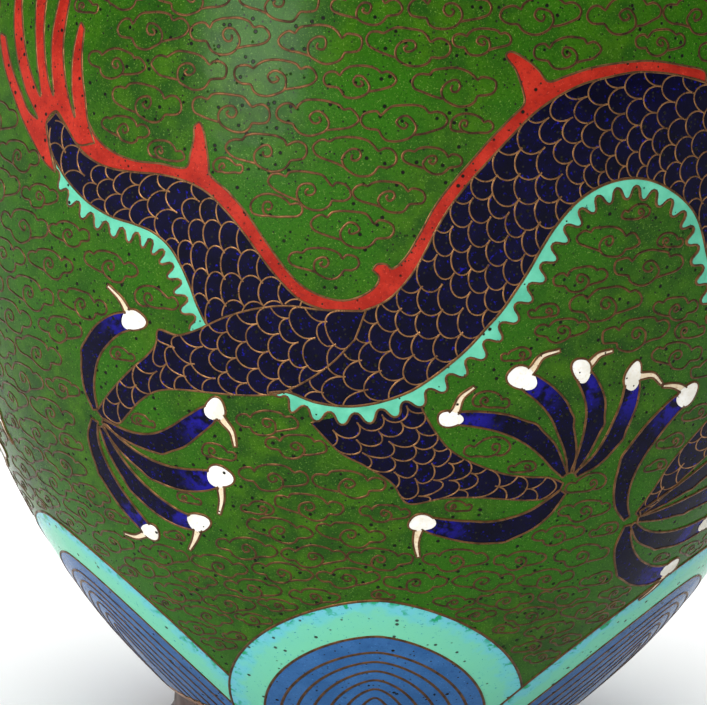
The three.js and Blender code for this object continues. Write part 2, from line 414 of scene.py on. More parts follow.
def revolve(profile):
    """Vertices and quads of a closed ring of wall from a closed profile of (radius, height)."""
    turns = np.linspace(0, 2 * math.pi, RING_SIDES, endpoint=False)
    profile = np.asarray(profile)
    count = len(profile)
    vertices = np.stack([
        profile[None, :, 0] * np.sin(turns)[:, None],
        -profile[None, :, 0] * np.cos(turns)[:, None],
        np.broadcast_to(profile[:, 1], (RING_SIDES, count))], axis=2)
    index = np.arange(RING_SIDES * count).reshape(RING_SIDES, count)
    right = np.roll(index, -1, axis=0)
    up, right_up = np.roll(index, -1, axis=1), np.roll(right, -1, axis=1)
    quads = np.stack([index, right, right_up, up], axis=2).reshape(-1, 4)
    return vertices.reshape(-1, 3) * MM, quads


def section(low, high, depth):
    """Points of the wall's section from one height to another, a depth under the enamel."""
    heights = np.linspace(low, high, max(2, math.ceil((high - low) / SECTION_STEP)) + 1)
    radii = radius_at(heights)
    slope = np.interp(heights, HEIGHTS, SLOPES)
    length = np.hypot(slope, 1)
    return np.column_stack([radii - depth / length, heights + depth * slope / length])


def band_of_wall(low, high, near, far):
    """A closed profile of wall between two heights and two depths under the enamel."""
    return np.vstack([section(low, high, near), section(low, high, far)[::-1]])


def oval(wide, high, corners=24, bump=0.0, phase=0.0):
    """Points of an oval round the origin from its half sizes, with three bumps if asked."""
    turns = np.linspace(0, 2 * math.pi, corners, endpoint=False)
    swell = 1 + bump * np.sin(3 * turns + phase)
    return np.column_stack([wide * np.cos(turns) * swell, high * np.sin(turns) * swell])


def rounded(corners, radius):
    """A closed profile whose corners are cut by small curves."""
    steps, largest_share = 5, 0.4
    corners = np.asarray(corners, float)
    out = []
    for before, corner, after in zip(np.roll(corners, 1, axis=0), corners,
                                     np.roll(corners, -1, axis=0)):
        ends = []
        for other in (before, after):
            gap = np.linalg.norm(other - corner)
            ends.append(corner + (other - corner) / gap * min(radius, largest_share * gap))
        for t in np.linspace(0, 1, steps):
            out.append((1 - t) ** 2 * ends[0] + 2 * t * (1 - t) * corner + t ** 2 * ends[1])
    return np.array(out)


# ---------------------------------------------------------------- materials

class Shader:
    """A short way to write a node material."""

    def __init__(self, name, roughness, metallic=0.0, specular=0.055):
        self.material = bpy.data.materials.new(name)
        self.material.use_nodes = True
        self.tree = self.material.node_tree
        self.surface = self.tree.nodes["Principled BSDF"]
        self.surface.inputs["Roughness"].default_value = roughness
        self.surface.inputs["Metallic"].default_value = metallic
        self.surface.inputs["Specular IOR Level"].default_value = specular
        self.place = self.node("ShaderNodeTexCoord").outputs["Object"]

    def node(self, kind, **values):
        made = self.tree.nodes.new(kind)
        for key, value in values.items():
            setattr(made, key, value)
        return made

    def link(self, source, target):
        self.tree.links.new(source, target)

    def noise(self, size, detail=3.0, roughness=0.55):
        """Noise with features of about this size in mm, from 0 to 1."""
        made = self.node("ShaderNodeTexNoise")
        made.inputs["Scale"].default_value = 1 / (size * MM)
        made.inputs["Detail"].default_value = detail
        made.inputs["Roughness"].default_value = roughness
        self.link(self.place, made.inputs["Vector"])
        return made.outputs["Fac"]

    def cells(self, size, output="Distance"):
        made = self.node("ShaderNodeTexVoronoi")
        made.inputs["Scale"].default_value = 1 / (size * MM)
        self.link(self.place, made.inputs["Vector"])
        return made.outputs[output]

    def spread(self, value, low, high, to_low=0.0, to_high=1.0):
        """A value from low to high, turned into one from to_low to to_high."""
        made = self.node("ShaderNodeMapRange", clamp=True)
        for name, number in (("From Min", low), ("From Max", high), ("To Min", to_low),
                             ("To Max", to_high)):
            made.inputs[name].default_value = number
        self.link(value, made.inputs["Value"])
        return made.outputs["Result"]

    def combine(self, operation, first, second):
        made = self.node("ShaderNodeMath", operation=operation)
        self.link(first, made.inputs[0])
        self.link(second, made.inputs[1])
        return made.outputs[0]

    def times(self, first, second):
        return self.combine("MULTIPLY", first, second)

    def ramp(self, value, *stops):
        """A colour for each value: stops are (value, colour)."""
        made = self.node("ShaderNodeValToRGB")
        points = made.color_ramp.elements
        while len(points) < len(stops):
            points.new(0.5)
        for point, (place, colour) in zip(points, stops):
            point.position = place
            point.color = (*colour, 1)
        self.link(value, made.inputs["Fac"])
        return made.outputs["Color"]

    def mix(self, share, first, second):
        """The first colour, turning into the second where share is 1."""
        made = self.node("ShaderNodeMix", data_type="RGBA")
        self.link(share, made.inputs["Factor"])
        for socket, colour in ((6, first), (7, second)):
            if isinstance(colour, tuple):
                made.inputs[socket].default_value = (*colour, 1)
            else:
                self.link(colour, made.inputs[socket])
        return made.outputs[2]

    def tint(self):
        return self.node("ShaderNodeAttribute", attribute_name="tint").outputs["Fac"]

    def bump(self, height, depth, before=None):
        made = self.node("ShaderNodeBump")
        made.inputs["Distance"].default_value = depth * MM
        self.link(height, made.inputs["Height"])
        if before is not None:
            self.link(before, made.inputs["Normal"])
        return made.outputs["Normal"]

    def finish(self, colour, normal=None, roughness=None):
        self.link(colour, self.surface.inputs["Base Color"])
        if normal is not None:
            self.link(normal, self.surface.inputs["Normal"])
        if roughness is not None:
            self.link(roughness, self.surface.inputs["Roughness"])
        return self.material


def enamel_pits(shader, size, share):
    """Round pinholes in polished enamel: 1 in a hole and 0 elsewhere."""
    holes = shader.spread(shader.cells(size), 0.14, 0.20, 1.0, 0.0)
    chosen = shader.spread(shader.cells(size, "Color"), share - 0.02, share, 1.0, 0.0)
    return shader.times(holes, chosen)


def enamel(name, base, light, speck, dark, grain=0.32, mottle=3.5, speck_from=0.6, pits=0.55,
           roughness=0.2, stain=None, patches=None):
    """Ground glass fused in a cell: mottled colour, coloured grains, pinholes, a waxy polish.

    A stain is the colour of spots where the cell's tint is near 1.
    Patches are the colour of broad patches anywhere.
    """
    shader = Shader(name, roughness)
    colour = shader.mix(shader.spread(shader.noise(mottle), 0.38, 0.66), base, light)
    if patches:
        colour = shader.mix(shader.spread(shader.noise(24.0), 0.44, 0.62), colour, patches)
    if stain:
        spots = shader.spread(shader.noise(1.6, 2.0), 0.40, 0.56)
        share = shader.times(shader.spread(shader.tint(), 0.45, 0.9), spots)
        colour = shader.mix(share, colour, stain)
    grains = shader.spread(shader.noise(grain, 2.0, 0.7), speck_from, speck_from + 0.12)
    colour = shader.mix(grains, colour, speck)
    shade = shader.spread(shader.noise(grain * 1.3, 2.0, 0.6), 0.3, 0.46, 0.55, 0.0)
    colour = shader.mix(shade, colour, dark)
    holes = enamel_pits(shader, 1.5, pits)
    small = enamel_pits(shader, 0.85, pits)
    colour = shader.mix(holes, colour, (0.006, 0.006, 0.004))
    colour = shader.mix(small, colour, (0.012, 0.012, 0.008))
    normal = shader.bump(shader.spread(holes, 0, 1, 1, 0), 0.12)
    normal = shader.bump(shader.noise(6.0, 2.0), 0.1, normal)
    normal = shader.bump(shader.noise(0.5, 2.0), 0.004, normal)
    return shader.finish(colour, normal, shader.spread(shader.noise(4.0), 0.3, 0.7,
                                                       roughness * 0.8, roughness * 1.35))


def border_enamel():
    """Turquoise that turns from sky blue at the outer wire to sea green at the inner one."""
    shader = Shader("lappet border enamel", 0.16)
    wander = shader.spread(shader.noise(2.4), 0.2, 0.8, -0.28, 0.28)
    edge = shader.combine("ADD", shader.tint(), wander)
    colour = shader.ramp(edge, (0.0, (0.11, 0.36, 0.46)), (0.25, (0.10, 0.39, 0.42)),
                         (0.5, (0.12, 0.42, 0.30)), (1.0, (0.125, 0.43, 0.28)))
    near_edge = shader.spread(edge, 0.1, 0.3, 1.0, 0.0)
    blots = shader.times(near_edge, shader.spread(shader.noise(1.5, 2.0), 0.5, 0.56))
    colour = shader.mix(blots, colour, (0.01, 0.24, 0.10))
    specks = shader.spread(shader.noise(0.5, 2.0), 0.66, 0.72)
    colour = shader.mix(specks, colour, (0.02, 0.16, 0.24))
    holes = enamel_pits(shader, 1.6, 0.4)
    colour = shader.mix(holes, colour, (0.03, 0.05, 0.04))
    normal = shader.bump(shader.spread(holes, 0, 1, 1, 0), 0.1)
    normal = shader.bump(shader.noise(6.0, 2.0), 0.1, normal)
    return shader.finish(colour, normal)


def copper(name, bright, dull, roughness=0.38, size=1.4, scratch=0.01):
    """Worn copper: bright where it is rubbed, brown where it has tarnished."""
    shader = Shader(name, roughness, metallic=0.85, specular=0.5)
    worn = shader.spread(shader.noise(size, 4.0, 0.6), 0.35, 0.65)
    colour = shader.mix(worn, dull, bright)
    spots = shader.spread(shader.noise(size * 0.25, 2.0), 0.6, 0.7)
    colour = shader.mix(spots, colour, tuple(0.35 * c for c in dull))
    normal = shader.bump(shader.noise(0.4, 3.0), scratch)
    return shader.finish(colour, normal, shader.spread(worn, 0, 1, roughness * 1.3, roughness * 0.8))


GREEN = enamel("green enamel", (0.011, 0.046, 0.004), (0.028, 0.088, 0.003), (0.10, 0.19, 0.03),
               (0.004, 0.024, 0.002), grain=0.24, patches=(0.016, 0.080, 0.003))
NAVY = enamel("navy enamel", (0.0007, 0.0005, 0.0062), (0.0014, 0.0011, 0.014), (0.006, 0.005, 0.20),
              (0.0008, 0.0008, 0.004), grain=0.6, speck_from=0.62, pits=0.6,
              stain=(0.007, 0.005, 0.15))
RED = enamel("red enamel", (0.22, 0.011, 0.006), (0.33, 0.021, 0.011), (0.50, 0.07, 0.04),
             (0.10, 0.008, 0.008), speck_from=0.64)
TURQUOISE = enamel("turquoise enamel", (0.068, 0.32, 0.21), (0.11, 0.43, 0.29),
                   (0.03, 0.22, 0.40), (0.08, 0.37, 0.25), speck_from=0.69, pits=0.3)
WHITE = enamel("white enamel", (0.56, 0.54, 0.47), (0.72, 0.71, 0.68), (0.50, 0.58, 0.66),
               (0.55, 0.48, 0.34), speck_from=0.68, pits=0.35, stain=(0.09, 0.14, 0.42))
CREAM = enamel("cream enamel", (0.56, 0.45, 0.30), (0.66, 0.57, 0.43), (0.44, 0.25, 0.12),
               (0.40, 0.26, 0.13), speck_from=0.68, pits=0.4)
WATER = enamel("water blue enamel", (0.018, 0.075, 0.20), (0.028, 0.10, 0.25),
               (0.05, 0.18, 0.42), (0.010, 0.045, 0.15), mottle=5.0, speck_from=0.64, pits=0.4)
BORDER = border_enamel()
LINING = enamel("lining enamel", (0.045, 0.33, 0.42), (0.075, 0.42, 0.50), (0.02, 0.22, 0.34),
                (0.03, 0.26, 0.34), mottle=7.0, pits=0.3, roughness=0.22)
WIRE = copper("copper wire", (0.135, 0.062, 0.021), (0.052, 0.025, 0.009), roughness=0.46)
CLOUD_COPPER = copper("dark copper wire", (0.105, 0.046, 0.015), (0.030, 0.014, 0.006),
                      roughness=0.42)
SCALE_WIRE = copper("rubbed copper wire", (0.25, 0.122, 0.045), (0.095, 0.044, 0.017),
                    roughness=0.42)
FOOT_COPPER = copper("patinated copper", (0.15, 0.075, 0.05), (0.05, 0.025, 0.018), 0.4, 7.0, 0.02)
RIM_COPPER = copper("rim copper", (0.48, 0.25, 0.12), (0.26, 0.12, 0.06), 0.3, 5.0)


# ---------------------------------------------------------------- plain walls and rings

def height_range(node):
    low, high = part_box(node)
    return low.z / MM, high.z / MM


def add_ring(name, profile, material, replaces):
    add_piece(name, write_mesh(name, *revolve(profile)), material, replaces)


SKIN_DEPTH = 1.2
NECK_LINING_DEPTH = 2.7
NECK_LINING_THICKNESS = 0.7
MOUTH_TOP = 295.3
LINING_TOP = 295.2
RING_GAP = 0.1
LINE_HALF_HEIGHT = 0.45
LINE_PROUD = 0.12
GROUND_LOW = 11.9
GROUND_HIGH = height_range("shoulder_border_wire")[0] - 0.3


def band_limits(node_below, node_above):
    """The clear height between two wire rings."""
    return height_range(node_below)[1] + RING_GAP, height_range(node_above)[0] - RING_GAP


def add_walls():
    ground = band_of_wall(GROUND_LOW, GROUND_HIGH, 0, SKIN_DEPTH)
    add_ring("green_ground", ground, GREEN, ["ground_enamel"])
    shoulder = band_of_wall(*band_limits("shoulder_border_wire", "neck_border_wire"), 0, SKIN_DEPTH)
    add_ring("shoulder_ground", shoulder, TURQUOISE, ["shoulder_band_enamel"])
    neck = band_of_wall(*band_limits("neck_border_wire", "mouth_border_wire"), 0, SKIN_DEPTH)
    add_ring("neck_ground", neck, GREEN, ["neck_enamel"])
    mouth_low = height_range("mouth_border_wire")[1] + RING_GAP
    mouth = band_of_wall(mouth_low, MOUTH_TOP, 0, SKIN_DEPTH)
    add_ring("mouth_ground", mouth, TURQUOISE, ["mouth_band_enamel"])
    for name in ("foot", "shoulder", "neck", "mouth"):
        node = f"{name}_border_wire"
        low, high = height_range(node)
        middle = (low + high) / 2
        ring = band_of_wall(middle - LINE_HALF_HEIGHT, middle + LINE_HALF_HEIGHT, -LINE_PROUD,
                            SKIN_DEPTH)
        add_ring(f"{name}_line", rounded(ring, 0.15), RIM_COPPER, [node])


def add_foot():
    """A turned foot: a rounded tread, a hollow waist and a flared top."""
    outer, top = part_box("foot_ring")[1].x / MM, height_range("foot_ring")[1]
    waist, inside_radius = outer - 1.3, outer - 4.0
    profile = rounded([
        (inside_radius, 0), (outer, 0), (outer, 2.4), (waist, 4.2), (waist, top - 1.8),
        (outer, top), (inside_radius, top - 0.5)], 0.9)
    add_ring("foot", profile, FOOT_COPPER, ["foot_ring"])


def add_lip():
    """The rolled lip, a round bead on the ends of the neck's layers."""
    low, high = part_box("mouth_rim")
    bead = (high.z - low.z) / 2 / MM
    circle = oval(bead, bead) + [high.x / MM - bead, (high.z + low.z) / 2 / MM]
    add_ring("lip", circle, RIM_COPPER, ["mouth_rim"])


def add_inside():
    """The smooth lining of the neck, and finishes for the walls that stay as they are."""
    low = height_range("neck_lining")[0]
    lining = band_of_wall(low, LINING_TOP, NECK_LINING_DEPTH,
                          NECK_LINING_DEPTH + NECK_LINING_THICKNESS)
    add_ring("neck_lining_enamel", lining, LINING, ["neck_lining"])
    finishes = {FOOT_COPPER: ("lower_body_wall", "upper_body_wall", "neck_wall"),
                LINING: ("body_lining", "base_enamel")}
    for material, nodes in finishes.items():
        for node in nodes:
            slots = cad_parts[node].data.materials
            slots.clear()
            slots.append(material)


add_walls()
add_foot()
add_lip()
add_inside()


# ---------------------------------------------------------------- the dragon's shapes

# The body's two edges, from the tail's tip round the front, the right side and the back to the
# neck, as stations that face each other.
TAIL_TOP = [(-41.2, 107.1), (-39.6, 105.3), (-37.6, 102.7), (-35.4, 101.1), (-32.9, 100.4),
            (-30.0, 100.3), (-26.9, 100.4), (-24.1, 100.0), (-21.2, 98.7), (-18.7, 96.1),
            (-16.6, 93.2), (-14.6, 90.0), (-12.6, 87.1), (-10.3, 84.6), (-8.0, 83.6)]
BELLY_TOP = [(-5.4, 83.0), (-2.9, 84.0), (-0.9, 85.4), (0.6, 87.4), (1.9, 89.8), (3.0, 92.7),
             (4.1, 95.9), (5.5, 99.1), (7.3, 102.3), (9.4, 105.5), (11.6, 108.7), (13.7, 111.5),
             (16.2, 113.8), (19.1, 115.6), (21.9, 116.5), (25.1, 117.2), (28.4, 117.1),
             (31.2, 116.6), (34.4, 115.6)]
BACK_TOP = [(40, 112.0), (45, 106.5), (49, 99.5), (53.5, 92.5), (59, 88.0), (66, 86.5), (73, 88.0),
            (80, 92.5), (87, 99.5), (94, 107.5), (102, 115.5), (111, 122.5), (122, 127.5),
            (134, 129.0), (146, 126.5), (156, 120.5), (165, 113.0), (174, 107.0), (184, 104.5),
            (194, 106.5), (202, 112.0), (208, 119.0), (213, 125.5)]
TAIL_LOW = [(-42.7, 105.4), (-42.3, 103.0), (-41.3, 100.4), (-39.8, 98.3), (-38.0, 96.5),
            (-35.9, 94.9), (-33.0, 93.6), (-30.0, 93.0), (-27.6, 92.2), (-25.6, 90.5),
            (-24.2, 88.0), (-23.1, 85.1), (-22.3, 82.4), (-20.6, 78.8), (-16.5, 74.6)]
BELLY_LOW = [(-12.0, 71.2), (-8.6, 70.0), (-5.0, 69.7), (-2.4, 70.2), (0.1, 71.2), (2.3, 72.5),
             (4.4, 74.4), (6.6, 76.8), (8.4, 79.1), (10.1, 81.8), (11.6, 84.2), (13.0, 87.1),
             (14.3, 90.0), (15.6, 93.3), (17.0, 96.3), (19.3, 99.7), (22.2, 101.9), (25.9, 102.7),
             (29.6, 101.5)]
BACK_LOW = [(34.0, 97.5), (37.0, 90.0), (40.0, 83.0), (44.5, 76.8), (51.5, 72.8), (60, 71.2),
            (69, 72.3), (78, 76.0), (86, 81.8), (94, 88.8), (103, 97.0), (112, 105.0),
            (122, 111.0), (132, 113.6), (141, 111.5), (150, 105.5), (159, 98.0), (169, 92.0),
            (181, 89.3), (194, 90.5), (206, 96.0), (216, 103.5), (222.5, 111.5)]
BODY_TOP = TAIL_TOP + BELLY_TOP + BACK_TOP
BODY_LOW = TAIL_LOW + BELLY_LOW + BACK_LOW

# The outside of the red crest above it: smooth runs that meet at the corners of its spikes.
CREST_FRONT = [
    [(-36.4, 106.6), (-35.1, 104.4), (-33.0, 102.8), (-30.0, 101.9), (-26.9, 101.9),
     (-23.5, 101.8)],
    [(-23.1, 103.6), (-22.7, 106.0), (-22.7, 107.5), (-22.1, 108.1), (-21.6, 107.0),
     (-21.2, 104.8), (-20.9, 102.4), (-20.8, 101.2)],
    [(-18.6, 99.0), (-16.6, 96.4), (-14.4, 92.7), (-11.9, 88.7), (-10.2, 86.7), (-8.0, 85.4),
     (-5.6, 85.0), (-3.7, 85.8), (-2.2, 87.3), (-1.9, 88.6)],
    [(-2.6, 89.5), (-2.2, 90.3), (-1.2, 90.4), (-0.6, 89.8)],
    [(0.1, 90.3), (1.0, 91.8), (2.3, 95.0), (3.7, 98.7), (5.5, 102.1), (7.6, 105.5),
     (9.4, 108.3), (11.2, 110.8), (12.7, 113.0)],
    [(12.4, 115.0), (11.6, 117.4), (10.5, 119.3), (10.9, 119.8), (12.6, 118.9), (14.1, 117.4),
     (15.2, 115.9)],
    [(17.3, 116.7), (20.1, 117.8), (23.7, 118.5), (27.3, 118.7), (30.9, 118.1), (34.4, 117.0)],
]
CREST_START = 1.8
CREST_WIDTH = 1.9
SPIKE_PLACES = [47, 62, 78, 94, 111, 132, 151, 167, 186]
# A spike in mm: x along the crest's line, y away from it.
SPIKE = [(-2.0, -0.3), (-1.5, 1.8), (-2.2, 4.0), (-3.4, 5.9), (-2.9, 6.4), (-1.0, 5.2), (0.7, 3.2),
         (1.9, 0.9), (2.2, -0.3)]

# The tail's fin: the edges of its five red strands and the corners between them.
TAIL_FIN = [
    [(-41.3, 98.6), (-43.0, 99.8), (-44.8, 102.2), (-46.9, 105.3), (-49.1, 109.2),
     (-50.9, 113.0), (-51.8, 116.8)],
    [(-50.7, 116.6), (-49.4, 113.0), (-47.3, 109.2), (-45.7, 106.6), (-44.2, 105.8)],
    [(-46.4, 109.4), (-48.2, 114.0), (-49.2, 118.3), (-49.5, 123.0), (-49.2, 129.0),
     (-48.0, 133.0)],
    [(-47.9, 129.0), (-48.2, 123.0), (-47.5, 118.3), (-46.4, 114.2), (-45.0, 111.0),
     (-43.8, 109.0)],
    [(-44.7, 114.2), (-45.3, 118.8), (-45.6, 124.0), (-45.4, 130.0), (-44.2, 136.0)],
    [(-43.9, 130.0), (-43.8, 124.0), (-43.8, 118.8), (-43.3, 114.7), (-42.5, 111.2),
     (-41.7, 109.4)],
    [(-42.2, 113.3), (-42.4, 117.0), (-42.0, 121.0), (-41.0, 126.0), (-39.4, 129.5)],
    [(-39.8, 125.0), (-40.3, 120.5), (-40.5, 116.5), (-40.1, 113.0), (-39.4, 109.8),
     (-38.3, 106.8)],
    [(-38.9, 110.5), (-39.0, 114.0), (-38.7, 117.5), (-38.1, 120.0)],
    [(-37.5, 119.2), (-37.6, 116.0), (-37.4, 113.0), (-36.9, 110.0), (-36.4, 106.6)],
    [(-35.4, 103.6), (-37.8, 103.1), (-39.6, 105.5), (-41.2, 107.3), (-42.7, 105.6),
     (-42.4, 102.9)],
]

# Legs with scales: their two edges, from the ankle up to the body.
HIND_LEFT = (
    [(-38.2, 64.2), (-36.6, 66.3), (-34.3, 69.0), (-31.6, 71.9), (-29.3, 74.2), (-27.9, 76.2),
     (-27.5, 78.2), (-25.1, 77.8), (-22.8, 78.8), (-19.3, 81.1), (-16.0, 82.7), (-12.0, 83.7),
     (-8.0, 83.5), (-3.2, 83.7)],
    [(-37.4, 62.9), (-35.3, 62.7), (-33.3, 64.6), (-31.3, 66.9), (-28.9, 68.8), (-27.0, 69.5),
     (-24.8, 69.8), (-21.6, 69.9), (-18.4, 70.0), (-15.4, 70.3), (-12.9, 70.9), (-9.9, 72.9),
     (-7.0, 75.7), (-4.3, 79.5)],
)
HIND_RIGHT = (
    [(22.4, 58.2), (20.5, 59.1), (17.5, 59.4), (14.5, 59.9), (11.3, 61.2), (9.2, 62.3),
     (7.1, 63.9), (5.4, 66.3), (4.2, 68.5), (3.4, 70.3), (2.6, 72.6)],
    [(22.2, 57.2), (20.6, 55.9), (17.8, 55.7), (14.5, 56.0), (11.0, 56.3), (7.0, 56.1),
     (2.7, 55.2), (0.6, 58.3), (-2.9, 60.9), (-5.6, 62.5), (-9.2, 66.8)],
)
FORE_RIGHT = (
    [(35.0, 52.0), (36.6, 55.6), (38.3, 60.0), (41.0, 64.0), (43.8, 67.5), (46.5, 71.5),
     (47.5, 75.5)],
    [(36.0, 51.4), (39.2, 54.4), (42.0, 57.4), (46.0, 61.0), (52.5, 62.5), (57.0, 66.5),
     (60.0, 72.5)],
)
FORE_LEFT = (
    [(277.8, 64.8), (273.5, 67.4), (267, 70.5), (259, 74.5), (252, 77.5), (243, 81.0),
     (235, 86.0), (228, 92.5), (223, 100.0), (219, 107.5)],
    [(278.2, 63.2), (274, 61.8), (268, 62.3), (260.5, 64.2), (252, 67.5), (238, 70.0),
     (225, 76.5), (214, 85.0), (207, 92.5), (204, 99.0)],
)

# Toes: the middle line from the ankle to the knuckle, the widths in mm along it, the knuckle's
# middle, length, width and lean in degrees, and the middle line of the claw.
TOES = [
    ([(-38.5, 64.3), (-38.9, 67.4), (-38.5, 70.5), (-37.4, 73.6), (-35.5, 76.2), (-33.3, 78.1),
      (-31.4, 78.9)], [1.0, 2.0, 2.7, 3.1, 3.2, 2.9, 2.6],
     ((-30.7, 79.1), 4.3, 3.1, 12), [(-31.4, 80.2), (-32.3, 81.9), (-34.0, 83.6)]),
    ([(-37.6, 62.9), (-35.5, 61.7), (-32.8, 60.9), (-29.7, 60.9), (-26.6, 62.3), (-24.3, 64.3),
      (-22.2, 66.2)], [0.9, 1.5, 2.1, 3.0, 3.5, 3.3, 2.9],
     ((-20.9, 67.5), 3.8, 3.1, 68), [(-19.9, 65.8), (-19.0, 64.4), (-18.7, 62.1)]),
    ([(-37.6, 62.2), (-35.5, 59.6), (-32.8, 57.5), (-29.7, 56.1), (-26.6, 55.7), (-23.8, 56.1),
      (-22.4, 56.5)], [0.9, 1.9, 2.7, 3.5, 3.8, 3.5, 3.0],
     ((-21.2, 57.1), 4.2, 3.7, 8), [(-21.3, 55.4), (-21.4, 53.4), (-22.1, 51.0)]),
    ([(-38.0, 61.8), (-37.2, 58.6), (-35.5, 55.1), (-33.4, 52.3), (-30.5, 50.1), (-27.8, 49.0),
      (-26.4, 48.9)], [1.0, 1.8, 2.6, 3.3, 3.3, 2.9, 2.6],
     ((-25.4, 49.1), 3.9, 3.2, 20), [(-26.0, 47.4), (-26.7, 46.0), (-28.0, 44.1)]),
    ([(-39.0, 62.6), (-40.0, 59.6), (-39.8, 56.3), (-38.9, 53.1), (-37.4, 50.0), (-35.5, 47.4),
      (-34.8, 46.6)], [1.2, 2.1, 2.5, 2.8, 2.9, 2.6, 2.4],
     ((-34.0, 45.9), 3.4, 3.0, 30), [(-35.2, 45.3), (-37.2, 44.4), (-39.4, 44.5)]),
    ([(22.6, 56.8), (20.9, 54.3), (19.2, 52.6), (16.7, 51.3), (13.7, 50.6), (10.8, 50.8),
      (7.9, 51.3), (6.0, 51.8)], [1.2, 2.6, 3.3, 3.8, 3.9, 3.7, 3.1, 2.7],
     ((4.7, 52.2), 3.9, 2.9, 8), [(4.3, 50.6), (4.2, 48.8), (4.7, 46.5)]),
    ([(22.3, 59.4), (20.9, 61.3), (19.2, 63.7), (16.7, 66.0), (13.7, 67.6), (10.8, 68.3),
      (8.4, 68.5)], [0.9, 1.9, 2.7, 3.0, 2.9, 2.5, 2.1],
     ((6.9, 68.4), 3.6, 2.5, -4), [(7.5, 69.7), (8.0, 71.6), (9.4, 73.2)]),
    ([(23.0, 59.8), (22.5, 62.9), (21.2, 66.5), (19.8, 69.7), (17.7, 72.2), (16.0, 73.6)],
     [0.9, 1.7, 2.5, 3.1, 3.0, 2.9],
     ((14.8, 74.5), 4.7, 3.4, -28), [(15.9, 75.8), (16.8, 77.6), (18.9, 78.5)]),
    ([(23.4, 59.8), (24.3, 63.2), (24.8, 67.0), (24.5, 70.3), (23.3, 73.1), (22.5, 74.4)],
     [0.9, 1.9, 2.8, 3.0, 2.7, 2.5],
     ((21.9, 75.5), 4.0, 2.8, -62), [(22.9, 76.4), (23.8, 77.6), (25.5, 78.2)]),
    ([(23.8, 59.4), (26.2, 61.5), (27.7, 64.2), (28.5, 67.0), (29.0, 69.9), (29.0, 72.3)],
     [0.9, 2.0, 2.7, 2.9, 2.8, 2.6],
     ((28.8, 74.2), 4.6, 2.7, 88), [(29.8, 74.1), (31.6, 74.1), (33.2, 72.6)]),
    ([(33.7, 51.4), (31.9, 54.2), (31.2, 57.8), (31.7, 61.6), (33.3, 65.1), (35.2, 68.0),
      (36.6, 69.6)], [1.1, 2.2, 3.0, 3.7, 3.6, 3.2, 2.8],
     ((37.6, 70.5), 4.2, 3.4, 48), [(36.4, 71.6), (35.0, 72.2), (33.4, 72.3)]),
    ([(35.8, 52.0), (39.4, 53.8), (43.6, 56.2), (47.4, 58.8), (50.4, 60.6)],
     [1.0, 2.0, 2.8, 3.1, 2.8],
     ((51.8, 61.7), 4.0, 3.1, 35), [(52.4, 63.2), (52.2, 65.2), (53.4, 67.2)]),
    ([(35.8, 51.0), (40.0, 51.3), (44.4, 52.1), (48.8, 53.3), (52.4, 54.4)],
     [0.9, 2.1, 2.9, 3.3, 2.9],
     ((53.8, 54.9), 4.0, 3.2, 20), [(55.4, 55.8), (57.0, 57.4), (57.4, 59.6)]),
    ([(35.2, 50.3), (38.0, 47.9), (42.0, 46.6), (46.4, 46.5), (50.4, 47.4)],
     [0.9, 2.2, 3.0, 3.4, 3.0],
     ((52.0, 47.9), 4.0, 3.2, 20), [(53.8, 47.2), (55.8, 47.4), (57.6, 49.0)]),
    ([(34.4, 50.2), (35.0, 46.8), (37.4, 43.3), (41.0, 40.9), (45.0, 40.0), (47.0, 40.3)],
     [1.2, 2.9, 3.8, 4.1, 3.6, 3.0],
     ((48.3, 40.8), 3.8, 3.1, 30), [(48.0, 39.2), (47.0, 37.4), (45.0, 35.7)]),
    ([(278.6, 65.4), (281.4, 69.6), (285.6, 72.9), (289.6, 74.4)], [1.1, 2.7, 3.2, 2.8],
     ((291.2, 74.9), 4.2, 3.1, 15), [(291.4, 76.6), (290.4, 78.4), (288.4, 79.6)]),
    ([(279.2, 64.6), (283.6, 66.4), (288.4, 67.3), (293.0, 67.0)], [1.0, 2.3, 3.2, 2.9],
     ((294.5, 66.9), 4.2, 3.1, -6), [(295.7, 65.8), (296.4, 64.0), (295.8, 62.2)]),
    ([(279.2, 63.6), (284.0, 61.8), (289.0, 60.2), (293.8, 58.8)], [1.0, 2.3, 3.3, 3.0],
     ((295.4, 58.2), 4.2, 3.2, -18), [(296.4, 56.8), (296.8, 55.2), (298.0, 53.6)]),
    ([(278.6, 62.8), (280.8, 58.4), (284.2, 54.4), (288.4, 51.6)], [1.1, 2.6, 3.2, 2.8],
     ((289.8, 50.8), 3.9, 3.1, -35), [(289.2, 49.2), (287.8, 47.8), (286.0, 47.0)]),
    ([(277.6, 62.8), (275.4, 58.2), (274.4, 53.2), (275.2, 48.6)], [1.2, 2.8, 3.2, 2.7],
     ((275.6, 47.2), 3.7, 3.0, -75), [(274.2, 46.2), (272.4, 45.8), (270.4, 46.6)]),
]
SCALE_WIDTH = 3.9
SCALE_PITCH = 2.3
SCALE_WIRE_WIDTH = 0.30
FRILL_WIDTH = 1.95
TOOTH_DEPTH = 0.92
FRILL_WIRE_WIDTH = 0.5


class Dragon:
    """The dragon's heaps of cells and wires, by colour."""

    def __init__(self):
        self.navy, self.red, self.frill, self.white, self.claw = (Heap() for _ in range(5))
        self.outline, self.scales = Heap(), Heap()
        self.shapes = []

    def cell(self, heap, outline, layer=0, hidden=()):
        """A cell of enamel, with a wire round it where no other shape lies over it."""
        put_cell(heap, outline, CELL_PROUD + layer * LAYER)
        for run, closed in kept_runs(outline, outside(outline, hidden), closed=True):
            put_wire(self.outline, run, closed, proud=WIRE_PROUD + layer * LAYER)
        self.shapes.append(outline)


